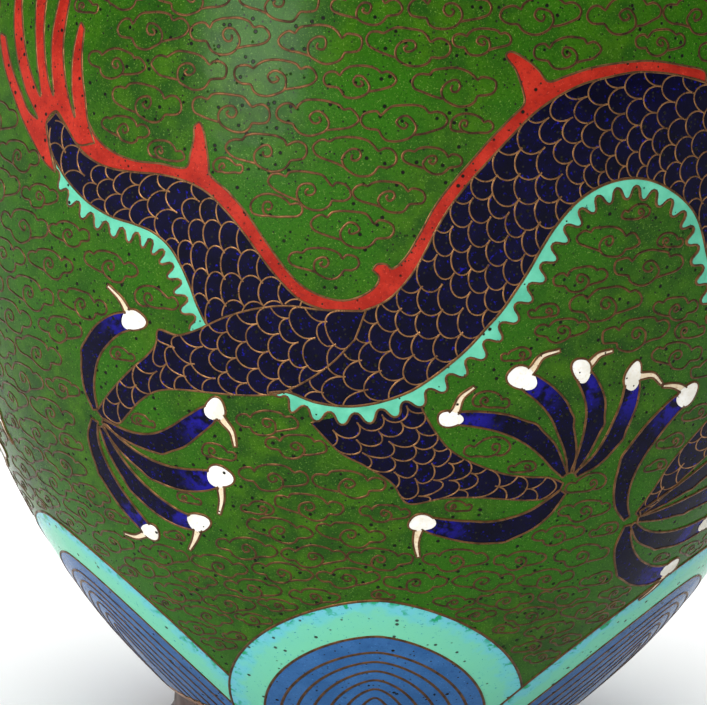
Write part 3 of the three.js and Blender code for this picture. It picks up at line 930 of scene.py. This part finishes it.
def facing(low_edge, high_edge):
    """Matches two edges: arrays of flat points that face each other across the limb."""
    low_line, high_line = (resample(spline(flat(edge)), 1.0) for edge in (low_edge, high_edge))
    gaps = np.linalg.norm(low_line[:, None] - high_line[None], axis=2)
    gaps = (gaps * local_radius(low_line)[:, None]) ** 2
    best = np.full(gaps.shape, np.inf)
    best[0] = np.cumsum(gaps[0])
    best[:, 0] = np.cumsum(gaps[:, 0])
    for i in range(1, gaps.shape[0]):
        for j in range(1, gaps.shape[1]):
            best[i, j] = gaps[i, j] + min(best[i - 1, j], best[i, j - 1], best[i - 1, j - 1])
    i, j = gaps.shape[0] - 1, gaps.shape[1] - 1
    pairs = [(i, j)]
    while i or j:
        steps = [(a, b) for a, b in ((i - 1, j - 1), (i - 1, j), (i, j - 1)) if a >= 0 and b >= 0]
        i, j = min(steps, key=lambda step: best[step])
        pairs.append((i, j))
    pairs = np.array(pairs[::-1], float)
    reach = min(4, len(pairs) // 6)
    padded = np.vstack([np.repeat(pairs[:1], reach, axis=0), pairs,
                        np.repeat(pairs[-1:], reach, axis=0)])
    window = np.ones(2 * reach + 1) / (2 * reach + 1)
    low_at, high_at = (np.convolve(padded[:, k], window, "valid") for k in (0, 1))
    low, high = read(low_line, low_at), read(high_line, high_at)
    along = run_length((low + high) / 2)
    even = np.interp(np.arange(0, along[-1], 0.2), along, np.arange(len(along)))
    return read(low, even), read(high, even)


def scale_arcs(low_line, high_line):
    """Wires of overlapping round scales between two edges, bulging towards the lines' start."""
    middle = (low_line + high_line) / 2
    along = run_length(middle)
    index = np.arange(len(along))
    turns = np.radians(np.linspace(-8, 188, 17))
    arcs = []
    place = SCALE_PITCH * 0.9
    row = 0
    while place < along[-1]:
        i = int(np.searchsorted(along, place))
        across = np.linalg.norm(high_line[i] - low_line[i]) * radius_at(height_at(middle[i, 1]))
        number = max(1, round(across / SCALE_WIDTH))
        size = 1 / number
        for k in range(number + row % 2):
            centre = (k + (0.5 if row % 2 == 0 else 0)) * size
            radius = 0.5 * across * size * RNG.uniform(0.97, 1.03)
            drop = min(radius, 1.15 * SCALE_PITCH)
            share = centre + 0.5 * size * np.cos(turns)
            depth = place - drop * np.sin(turns) + RNG.uniform(-0.1, 0.1)
            keep = (share >= 0) & (share <= 1) & (depth >= 0)
            spot = np.interp(depth, along, index)
            low, high = read(low_line, spot), read(high_line, spot)
            points = low + (high - low) * share[:, None]
            arcs += [run for run, _ in kept_runs(points, keep, shortest=3)]
        place += SCALE_PITCH * RNG.uniform(0.96, 1.04)
        row += 1
    return arcs


def put_scales(dragon, edges, layer, hidden=()):
    for points in scale_arcs(*facing(*edges)):
        points = resample(points, 0.4)
        for run, _ in kept_runs(points, outside(points, hidden), shortest=3):
            put_wire(dragon.scales, run, width=SCALE_WIRE_WIDTH, proud=WIRE_PROUD + layer * LAYER)


def limb_outline(edges):
    return np.vstack([spline(flat(edges[0])), spline(flat(edges[1]))[::-1]])


def wavy_edge(line, pitch):
    """The frill's toothed edge: round teeth along the right of a curve."""
    along = run_length(line)
    phase = 2 * math.pi * along / pitch + 0.5 * np.sin(along / 7)
    fade = np.clip(np.minimum(along, along[-1] - along) / 4, 0.1, 1)
    edge = shifted(line, -(FRILL_WIDTH + TOOTH_DEPTH * np.sin(phase)) * fade)
    bulge = -0.1 * fade * np.sin(2 * phase)
    return edge + tangents(line) * (bulge / local_radius(line))[:, None]


def add_frill(dragon, edge, covers, layer, pitch):
    line = resample(spline(flat(edge)), 0.3)
    outline = np.vstack([line, wavy_edge(line, pitch)[::-1]])
    put_cell(dragon.frill, outline, CELL_PROUD + layer * LAYER)
    for run, closed in kept_runs(outline, outside(outline, covers), closed=True):
        put_wire(dragon.outline, run, closed, FRILL_WIRE_WIDTH, WIRE_PROUD + layer * LAYER)
    dragon.shapes.append(outline)


def spike(place, line):
    """A curved red fin that leans back from the crest's line at an angle in degrees."""
    i = int(np.argmin(np.abs(line[:, 0] - math.radians(place))))
    ahead = tangents(line)[i]
    left = np.array([-ahead[1], ahead[0]])
    radius = local_radius(line[i:i + 1])[0]
    level = [0, line[i, 1]]
    shape = spline(np.array(SPIKE) / radius + level) - level
    return line[i] + shape[:, :1] * ahead + shape[:, 1:] * left


def add_crest(dragon):
    fin = join(*TAIL_FIN)
    dragon.cell(dragon.red, join(*CREST_FRONT, [*TAIL_TOP[2:], *BELLY_TOP][::-1]), 0, [fin])
    back_line = spline(flat([BELLY_TOP[-1], *BACK_TOP]))
    ridge = shifted(back_line, np.linspace(CREST_START, CREST_WIDTH, len(back_line)))
    dragon.cell(dragon.red, np.vstack([ridge, back_line[::-1]]))
    for place in SPIKE_PLACES:
        dragon.cell(dragon.red, spike(place, ridge), 1)


def add_limbs(dragon):
    body = np.vstack([spline(flat(BODY_TOP)), spline(flat(BODY_LOW))[::-1]])
    thigh = limb_outline(HIND_LEFT)
    dragon.cell(dragon.navy, body, 1, [thigh])
    dragon.cell(dragon.navy, thigh, 2)
    put_scales(dragon, (BODY_LOW, BODY_TOP), 1, hidden=[thigh])
    put_scales(dragon, HIND_LEFT, 2)
    for edges in (HIND_RIGHT, FORE_RIGHT, FORE_LEFT):
        dragon.cell(dragon.navy, limb_outline(edges), 0, [body])
        put_scales(dragon, edges, 0, hidden=[body])
    add_frill(dragon, TAIL_LOW[2:], [thigh], layer=1, pitch=2.6)
    add_frill(dragon, [(-14.0, 70.9), *BELLY_LOW, *BACK_LOW], [], layer=3, pitch=3.3)


def toe_outline(line, widths, joint=0.0):
    """The outline of a toe from its middle line, its widths and the size of its joint's bump."""
    middle = spline(flat(line))
    stations = [int(np.argmin(np.linalg.norm(middle - point, axis=1))) for point in flat(line)]
    half = np.interp(np.arange(len(middle)), stations, widths) / 2
    share = np.linspace(0, 1, len(middle))
    bump = joint * np.exp(-((share - 0.45) / 0.045) ** 2)
    ahead = tangents(middle)
    bends_left = ahead[0, 0] * ahead[-1, 1] - ahead[0, 1] * ahead[-1, 0] > 0
    left, right = (half, half + bump) if bends_left else (half + bump, half)
    return np.vstack([shifted(middle, left), shifted(middle, -right)[::-1]])


def knuckle_outline(centre, length, width, lean):
    shape = oval(0.5 * length, 0.5 * width, 28, 0.07, RNG.uniform(0, 6))
    return placed(shape, centre, turn=math.radians(lean))


def add_toe(dragon, toe):
    """A toe, its knuckle and its claw, with one wire round all three."""
    line, widths, knuckle, claw = toe
    claw_widths = np.linspace(1.45, 0.5, len(claw) + 1)
    reach, ends = [*line, knuckle[0]], [*widths, 0.7 * widths[-1]]
    shapes = [toe_outline(reach, ends, 0.3), toe_outline([knuckle[0], *claw], claw_widths),
              knuckle_outline(*knuckle)]
    joint = flat(line[-1:])

    def joint_share(points):
        gap = np.linalg.norm(points - joint, axis=1) * local_radius(points)
        return np.clip(1.15 - gap / 9, 0, 1)

    for layer, (heap, shape) in enumerate(zip((dragon.navy, dragon.claw, dragon.white), shapes)):
        nearness = joint_share if heap is dragon.navy else None
        put_cell(heap, shape, CELL_PROUD + (layer + 1) * LAYER, nearness)
    toe_line, claw_line, knuckle_line = shapes
    open_toe = np.roll(toe_line, -(len(toe_line) // 2), axis=0)
    for line, others, closed in ((open_toe, (claw_line, knuckle_line), False),
                                 (claw_line, (toe_line, knuckle_line), False),
                                 (knuckle_line, (toe_line, claw_line), True)):
        keep = outside(line, others)
        keep[1:-1] |= keep[:-2] | keep[2:]
        for run, whole in kept_runs(line, keep, closed, shortest=3):
            put_wire(dragon.outline, run, whole, proud=WIRE_PROUD + 3 * LAYER)
    dragon.shapes += shapes


# The head, in mm around its own middle: x forwards, y up.
HEAD_PLACE = (219.5, 119.0)
SKULL = [(-6, -7.5), (0, -8.5), (5, -7), (8.5, -3.8), (12, -2.6), (16, -2.9), (20, -2.2),
         (24, -1.6), (27, -0.2), (27.6, 2.2), (25.8, 4.2), (23.2, 3.6), (20.5, 3.0), (17.5, 3.6),
         (15.5, 5.6), (13.5, 7.6), (10.5, 7.4), (7.5, 8.4), (3.5, 8.0), (-1, 7.2), (-6, 7.4)]
JAW = [(4.5, -7), (7.5, -8.8), (11.5, -10.6), (16, -11.6), (20.5, -11.3), (23.6, -9.6),
       (23.0, -8.0), (19.5, -8.2), (15.5, -7.8), (12, -6.2), (9, -4.4)]
MOUTH = [(8.5, -4), (12, -2.7), (16, -2.9), (20, -2.3), (24, -1.8), (24, -5), (22.8, -8.4),
         (19.5, -8.6), (15.5, -8.2), (12, -6.6)]
BROW = [(9.0, 6.4), (12, 7.9), (15, 7.3), (17.6, 5.4), (16.6, 8.8), (12.4, 10.6), (8.8, 9.0)]
NOSTRIL = [(24.2, 1.3), (25.4, 0.9), (26.2, 1.7), (25.2, 2.6)]
FANGS = [(13.4, -3), (17.2, -3), (21.8, -2.2)]
HORNS = [([(6, 8), (0, 12.5), (-6, 14.6), (-11, 14.2)], [2.4, 2.0, 1.5, 0.7]),
         ([(-2, 13.6), (-4, 17.4), (-7.5, 19.4)], [1.6, 1.2, 0.6])]
MANE = [([(2, 7), (-5, 10.4), (-12, 10.2), (-18, 13.6)], [3.4, 2.8, 2.0, 0.6]),
        ([(3, 8), (-1, 16), (-7, 22), (-15, 24)], [2.8, 2.6, 1.8, 0.6]),
        ([(2, -8), (-4, -12), (-10, -13.6), (-16, -11.6)], [3.4, 2.8, 2.0, 0.6]),
        ([(5, -8.5), (0, -15), (-6, -18.6), (-13, -18.6)], [3.0, 2.6, 1.8, 0.6]),
        ([(8, -9), (6, -16), (0.5, -22), (-6, -24.6)], [2.8, 2.4, 1.7, 0.6])]
BEARD = [([(13, -11), (11.4, -15.4), (7, -18.4)], [2.6, 2.0, 0.6]),
         ([(17, -11.4), (16.8, -16.6), (12.6, -21)], [2.6, 2.0, 0.6])]
WHISKERS = [[(25.5, 4), (29, 8.4), (34, 10), (38.4, 7.6), (38.6, 3.4), (35.4, 2.2), (34, 4.8)],
            [(24, -1.8), (29, -4.6), (33.6, -3), (37, -6.2), (35, -9.4), (32.2, -7.6)]]
PEARL_PLACE = (263.0, 118.0)
PEARL_FLAMES = [(80, 9), (150, 8), (215, 9), (290, 8)]


def beside(place, points):
    """Control points in (degrees, mm) for points in mm around a place."""
    radius = float(radius_at(place[1]))
    return [(place[0] + math.degrees(x / radius), place[1] + y) for x, y in points]


def add_head(dragon):
    def sketch(points):
        return spline(flat(beside(HEAD_PLACE, points)), closed=True)

    for strands, heap, layer in ((MANE, dragon.red, 2), (BEARD, dragon.frill, 2),
                                 (HORNS, dragon.claw, 3)):
        for line, widths in strands:
            dragon.cell(heap, toe_outline(beside(HEAD_PLACE, line), widths), layer)
    dragon.cell(dragon.red, sketch(MOUTH), 3)
    dragon.cell(dragon.navy, sketch(JAW), 4)
    dragon.cell(dragon.navy, sketch(SKULL), 4)
    for x, y in FANGS:
        fang = toe_outline(beside(HEAD_PLACE, [(x, y + 0.3), (x + 0.2, y - 2.6)]), [1.5, 0.4])
        dragon.cell(dragon.white, fang, 5)
    dragon.cell(dragon.frill, sketch(BROW), 5)
    dragon.cell(dragon.red, sketch(NOSTRIL), 5)
    eye = beside(HEAD_PLACE, [(13.6, 4.4)])[0]
    dragon.cell(dragon.white, placed(oval(1.95, 1.5), eye), 5)
    dragon.cell(dragon.navy, placed(oval(0.7, 0.7), eye), 6)
    for line in WHISKERS:
        curve = spline(flat(beside(HEAD_PLACE, line)))
        put_wire(dragon.outline, curve, proud=WIRE_PROUD, width=0.5)


def add_pearl(dragon):
    """The flaming pearl that the dragon chases."""
    for turn, length in PEARL_FLAMES:
        turn = math.radians(turn)
        out = [(3.4, 0.0), (5.6, 0.9), (length, 0.2), (length + 3, 2.0)]
        line = [(x * math.cos(turn) - y * math.sin(turn), x * math.sin(turn) + y * math.cos(turn))
                for x, y in out]
        flame = toe_outline(beside(PEARL_PLACE, line), [3.2, 3.0, 1.8, 0.4])
        dragon.cell(dragon.red, flame)
    dragon.cell(dragon.white, placed(oval(4.4, 4.4), PEARL_PLACE), 1)
    swirl = [(0.4, 0), (0, 0.7), (-0.9, 0.5), (-1.1, -0.6), (0, -1.5), (1.6, -1.0), (2.0, 0.8)]
    put_wire(dragon.outline, spline(flat(beside(PEARL_PLACE, swirl))), proud=WIRE_PROUD + LAYER)


def add_dragon():
    dragon = Dragon()
    add_crest(dragon)
    dragon.cell(dragon.red, join(*TAIL_FIN))
    add_limbs(dragon)
    for toe in TOES:
        add_toe(dragon, toe)
    add_head(dragon)
    add_pearl(dragon)
    dragon.navy.piece("dragon_navy_cells", NAVY, "navy_enamel", ["dragon_body"])
    dragon.red.piece("dragon_red_cells", RED)
    dragon.frill.piece("dragon_frill_cells", TURQUOISE, "turquoise_enamel")
    dragon.white.piece("dragon_knuckle_cells", WHITE)
    dragon.claw.piece("dragon_claw_cells", CREAM)
    dragon.outline.piece("dragon_outline_wires", WIRE, "gilt_copper")
    dragon.scales.piece("dragon_scale_wires", SCALE_WIRE, "gilt_copper")
    return dragon


DRAGON = add_dragon()


# ---------------------------------------------------------------- wave lappets

LAPPET_HALF = 36.0
WATER_HALF = 27.6
ARCH_FOOT = 10.0
# The border's width in mm, over which its tint runs from 0 to 1.
BORDER_WIDTH = 6.0
# The arcs of wire inside the water: how many, and how far each lies inside the last.
WATER_ARCS = 6
ARC_DROP = 1.8
ARC_INSET = 3.7


def arch(i, top, half_angle):
    """The curve of arch i, from its left foot over its top to its right foot, a little uneven."""
    low = GROUND_LOW + 0.1
    share = np.sin(np.linspace(0, 1, 60) * math.pi / 2)
    height = low + (top - low) * share
    rise = np.clip((height - ARCH_FOOT) / (top - ARCH_FOOT), 0, 1)
    wide = half_angle * (1 - rise ** 1.3) ** 0.6
    left = np.column_stack([360 / LAPPETS * i - wide, height])
    right = np.column_stack([360 / LAPPETS * i + wide, height])[::-1]
    points = flat(np.vstack([left, right[1:]]))
    wobble = 0.25 * np.sin(np.linspace(0, 9, len(points)) + 2.1 * i)
    return resample(shifted(points, wobble), 0.6)


def without(curve, other):
    """The part of an arch that a neighbour's arch doesn't cover, closed along the neighbour."""
    covered = inside(curve, other)
    if not covered.any():
        return curve
    first = int(np.argmax(covered))
    crossing = curve[first]
    edge = other[:len(other) // 2]
    j = int(np.argmin(np.linalg.norm(edge - crossing, axis=1)))
    return np.vstack([curve[:first], edge[:j + 1][::-1]])


def add_lappets():
    wires = Heap()
    tops, waters = ([height_range(f"lappet_{part}_{i + 1}")[1] for i in range(LAPPETS)]
                    for part in ("border", "water"))
    arches = [arch(i, top, LAPPET_HALF) for i, top in enumerate(tops)]
    for i, outer in enumerate(arches):
        number = i + 1
        neighbour = arches[number % LAPPETS] + [2 * math.pi * (number // LAPPETS), 0]
        water_curve = arch(i, waters[i], WATER_HALF)
        border, water = Heap(), Heap()

        def edge_share(points):
            gap = np.linalg.norm(points[:, None] - outer[None, ::3], axis=2).min(axis=1)
            return gap * local_radius(points) / BORDER_WIDTH

        put_cell(border, without(outer, neighbour), CELL_PROUD, edge_share)
        put_cell(water, without(water_curve, neighbour), CELL_PROUD + LAYER)
        border.piece(f"wave_border_{number}", BORDER, "turquoise_enamel",
                     [f"lappet_border_{number}"])
        water.piece(f"wave_water_{number}", WATER, "blue_enamel", [f"lappet_water_{number}"])
        lines = [(outer, 1.25), (water_curve, 1.3)]
        for k in range(1, WATER_ARCS + 1):
            top = waters[i] - 1.2 - ARC_DROP * k
            lines.append((arch(i, top, WATER_HALF - ARC_INSET * k), 1.5))
        for line, factor in lines:
            for run, _ in kept_runs(line, outside(line, [neighbour])):
                put_wire(wires, run, width=WIRE_WIDTH * factor, proud=WIRE_PROUD + 2 * LAYER)
    wires.piece("lappet_wires", WIRE, "gilt_copper")
    return arches


ARCHES = add_lappets()


# ---------------------------------------------------------------- clouds

# A cloud, 11.2 mm wide, as a single wire: from the middle of its scroll outwards, along the
# bottom, round the left lobe, over the top, round the right lobe and back to the scroll.
CLOUD = [(0.2, 0.15), (0.5, -0.15), (0.25, -0.6), (-0.4, -0.62), (-0.9, 0.05), (-0.5, 0.8),
         (0.35, 0.88), (1.25, 0.3), (1.6, -0.6), (1.3, -1.55), (0.5, -2.15), (-0.8, -2.5),
         (-2.15, -2.3), (-2.85, -1.7), (-3.2, -1.1), (-4.2, -1.0), (-5.1, -0.75), (-5.6, 0.0),
         (-5.3, 0.9), (-4.4, 1.4), (-3.5, 1.35), (-2.95, 0.9), (-2.5, 1.5), (-1.7, 2.1),
         (-0.1, 2.4), (1.7, 2.35), (2.85, 2.0), (3.35, 1.45), (4.2, 1.65), (5.15, 1.3),
         (5.6, 0.45), (5.2, -0.35), (4.2, -0.85), (2.6, -1.25), (1.35, -1.5)]
# A little cloud, 7 mm wide, with one lobe on the left and the scroll in its round end.
CLOUDLET = [(1.25, 0.05), (1.0, -0.3), (0.6, 0.1), (0.85, 0.75), (1.6, 0.7), (1.95, -0.1),
            (1.4, -0.95), (0.2, -1.25), (-1.4, -1.2), (-2.9, -1.15), (-3.6, -0.55),
            (-3.5, 0.35), (-2.8, 0.7), (-2.1, 0.45), (-1.7, 0.95), (-0.6, 1.7), (1.0, 2.0),
            (2.6, 1.5), (3.4, 0.4), (3.2, -0.65), (2.3, -1.15), (1.3, -1.1)]
CLOUDS_ROUND = 38
CLOUD_ROW = 4.95
CLOUD_PITCH = 12.0
CLOUD_WIRE_WIDTH = 0.44
CLOUD_GAP = 0.1
SHAPE_GAP = 0.3
# The mesh width in mm of the map of free places, and the radius at which it has that width.
MAP_MESH = 0.35
MAP_RADIUS = 73


class Busy:
    """A map of the flat pattern that marks which places are taken."""

    def __init__(self, low, high):
        self.low = q_at(low)
        self.step = MAP_MESH / MAP_RADIUS
        self.taken = np.zeros((math.ceil(2 * math.pi / self.step),
                               math.ceil((q_at(high) - self.low) / self.step)), bool)

    def mark(self, outline, margin):
        """Marks the inside of a closed outline and a margin in mm around it, row by row."""
        slack = margin / float(local_radius(outline).mean())
        rows = math.ceil(slack / self.step)
        ends = np.roll(outline, -1, axis=0)
        low, high = np.floor((outline[:, 1].min() - self.low) / self.step), outline[:, 1].max()
        for row in range(max(int(low), 0), self.taken.shape[1]):
            q = self.low + (row + 0.5) * self.step
            if q > high:
                break
            crossed = (outline[:, 1] > q) != (ends[:, 1] > q)
            a, b = outline[crossed], ends[crossed]
            places = np.sort(a[:, 0] + (q - a[:, 1]) / (b[:, 1] - a[:, 1]) * (b[:, 0] - a[:, 0]))
            for left, right in zip(places[::2], places[1::2]):
                first, last = (left - slack) / self.step, (right + slack) / self.step
                columns = np.arange(math.floor(first), math.ceil(last)) % self.taken.shape[0]
                self.taken[columns, max(row - rows, 0):row + rows + 1] = True

    def free(self, points):
        across = np.floor(points[:, 0] / self.step).astype(int) % self.taken.shape[0]
        up = np.floor((points[:, 1] - self.low) / self.step).astype(int)
        if (up < 0).any() or (up >= self.taken.shape[1]).any():
            return False
        return not self.taken[across, up].any()


def motif(shape, centre, size, flip):
    """A hand-bent copy of a cloud at its place."""
    points = [(x + RNG.uniform(-0.13, 0.13), y + RNG.uniform(-0.1, 0.1)) for x, y in shape]
    return spline(placed(points, centre, size, RNG.uniform(-0.07, 0.07), flip))


def cloud_places(low, high, number):
    """Middles of clouds in brick rows, with their size against the drawn one."""
    row_height = CLOUD_ROW / CLOUD_PITCH * 2 * math.pi / number
    q = q_at(low) + row_height / 2
    row = 0
    while q < q_at(high):
        height = float(height_at(q))
        size = float(radius_at(height)) * 2 * math.pi / number / CLOUD_PITCH
        for k in range(number):
            turn = 360 * (k + 0.5 * (row % 2)) / number + RNG.uniform(-0.4, 0.4)
            yield (turn, height + RNG.uniform(-0.2, 0.2)), size
        q += row_height
        row += 1


def first_fit(busy, centre, size, trials):
    """The first of the trial clouds that lies on free ground, or nothing."""
    for shape, share, aside, up in trials:
        spot = (centre[0] + math.degrees(aside * size / radius_at(centre[1])),
                centre[1] + up * size)
        flip = RNG.choice((-1, 1))
        rough = placed([*shape, (0, 0)], spot, size * share, 0, flip)
        if busy.free(rough):
            return motif(shape, spot, size * share, flip)
    return None


def add_clouds(name, low, high, number, shapes, parts):
    """Fills a band with clouds, and the gaps beside the shapes with little ones."""
    busy = Busy(low, high)
    for shape in shapes:
        busy.mark(shape, SHAPE_GAP)
    heaps = [Heap() for _ in range(parts)]
    whole = [(CLOUD, RNG.uniform(0.95, 1.04), 0, 0) for _ in range(2)]
    small = [(CLOUD, share, aside, up) for share in (0.86, 0.72) for aside in (0, -2, 2)
             for up in (0, 1.2, -1.2)]
    tiny = [(CLOUDLET, share, aside, up) for share in (1.0, 0.8, 0.62)
            for aside in (0, -3, 3, -1.5, 1.5) for up in (0, 1.2, -1.2, 2.2, -2.2)]
    places = list(cloud_places(low, high, number))
    for trials in (whole, small, tiny):
        left_over = []
        for centre, size in places:
            wire = first_fit(busy, centre, size, trials)
            if wire is None:
                left_over.append((centre, size))
                continue
            busy.mark(wire, CLOUD_GAP)
            heap = heaps[int(centre[0] % 360 / 360 * parts) % parts]
            put_wire(heap, wire, width=CLOUD_WIRE_WIDTH)
        places = left_over
    for i, heap in enumerate(heaps):
        heap.piece(f"{name}_{i + 1}", CLOUD_COPPER, "gilt_copper")


add_clouds("cloud_wires", low=12.5, high=GROUND_HIGH, number=CLOUDS_ROUND,
           shapes=[*DRAGON.shapes, *ARCHES], parts=8)
add_clouds("neck_cloud_wires", low=209, high=282, number=14, shapes=[], parts=2)


# ---------------------------------------------------------------- shoulder and mouth bands

RUYI = [(-6.2, 5.0), (-8.0, 3.2), (-7.8, 0.4), (-5.8, -0.8), (-4.0, -0.2), (-3.2, 0.4),
        (-3.4, -2.0), (-2.0, -4.2), (0, -5.6), (2.0, -4.2), (3.4, -2.0), (3.2, 0.4),
        (4.0, -0.2), (5.8, -0.8), (7.8, 0.4), (8.0, 3.2), (6.2, 5.0), (3.0, 4.4), (0, 5.2),
        (-3.0, 4.4)]
PETAL = [(-4.4, -4.6), (-4.6, -1.0), (-3.4, 2.4), (-1.4, 4.2), (0, 4.9), (1.4, 4.2), (3.4, 2.4),
         (4.6, -1.0), (4.4, -4.6), (0, -4.9)]


def add_band(name, shape, count, height, size, rings):
    """A row of motifs, each made of copies of one shape inside each other."""
    heaps = {material: Heap() for material, share in rings}
    wires = Heap()
    for k in range(count):
        for layer, (material, share) in enumerate(rings):
            place = (360 * k / count, height)
            outline = spline(placed(shape, place, size * share), closed=True)
            put_cell(heaps[material], outline, CELL_PROUD + layer * LAYER)
            put_wire(wires, outline, True, proud=WIRE_PROUD + layer * LAYER)
    for material, heap in heaps.items():
        heap.piece(f"{name}_{material.name.split()[0]}_cells", material)
    wires.piece(f"{name}_wires", WIRE, "gilt_copper")


add_band("shoulder_collar", RUYI, count=8, height=194.5, size=1.3,
         rings=[(NAVY, 1.0), (RED, 0.66), (WHITE, 0.24)])
add_band("mouth_petals", PETAL, count=20, height=289.3, size=0.95,
         rings=[(GREEN, 1.0), (RED, 0.6)])


# ---------------------------------------------------------------- camera, light and floor

CAMERA_DISTANCE = 500
CAMERA_PITCH = 11.0
CAMERA_ROLL = 2.4
CAMERA_AIM = (-5.44, 63.92)
VIEW_WIDTH = 113.1
SENSOR = 36.0
FLOOR_HALF = 6.0
WORLD_STRENGTH = 0.22


def add_camera():
    """Looks down a little at the lower belly, with the picture turned clockwise."""
    data = bpy.data.cameras.new("camera")
    data.sensor_width = SENSOR
    data.lens = SENSOR * CAMERA_DISTANCE / VIEW_WIDTH
    data.clip_start = 0.01
    camera = bpy.data.objects.new("camera", data)
    bpy.context.scene.collection.objects.link(camera)
    pitch, roll = math.radians(CAMERA_PITCH), math.radians(CAMERA_ROLL)
    side, aim = CAMERA_AIM
    back = Vector((0, -math.cos(pitch), math.sin(pitch)))
    up = Vector((0, math.sin(pitch), math.cos(pitch)))
    right = Vector((1, 0, 0))
    turned_right = right * math.cos(roll) + up * math.sin(roll)
    turned_up = up * math.cos(roll) - right * math.sin(roll)
    place = (Vector((side, 0, aim)) + back * CAMERA_DISTANCE) * MM
    axes = Matrix((turned_right, turned_up, back)).transposed().to_4x4()
    camera.matrix_world = Matrix.Translation(place) @ axes
    bpy.context.scene.camera = camera


def add_light(name, place, target, size, power):
    data = bpy.data.lights.new(name, "AREA")
    data.shape = "DISK"
    data.size = size
    data.energy = power
    light = bpy.data.objects.new(name, data)
    bpy.context.scene.collection.objects.link(light)
    light.location = place
    light.rotation_euler = (Vector(target) - Vector(place)).to_track_quat("-Z", "Y").to_euler()


def add_floor():
    mesh = bpy.data.meshes.new("floor")
    mesh.from_pydata([(x * FLOOR_HALF, y * FLOOR_HALF, 0) for x, y in
                      ((-1, -1), (1, -1), (1, 1), (-1, 1))], [], [(0, 1, 2, 3)])
    shader = Shader("pale floor", 0.7)
    shade = shader.spread(shader.noise(900.0), 0.3, 0.7)
    mesh.materials.append(shader.finish(shader.mix(shade, (0.90, 0.90, 0.90), (0.93, 0.93, 0.93))))
    floor = bpy.data.objects.new("floor", mesh)
    bpy.context.scene.collection.objects.link(floor)


def add_world():
    world = bpy.data.worlds.new("studio")
    world.use_nodes = True
    background = world.node_tree.nodes["Background"]
    background.inputs["Color"].default_value = (1, 1, 1, 1)
    background.inputs["Strength"].default_value = WORLD_STRENGTH
    bpy.context.scene.world = world
    bpy.context.scene.view_settings.view_transform = "Standard"


add_camera()
add_floor()
add_world()
add_light("key", place=(-0.52, -0.80, 0.19), target=(0, 0, 0.12), size=0.42, power=7.5)
add_light("ceiling", place=(0, 0, 2.5), target=(0, 0, 0), size=5.0, power=165.0)
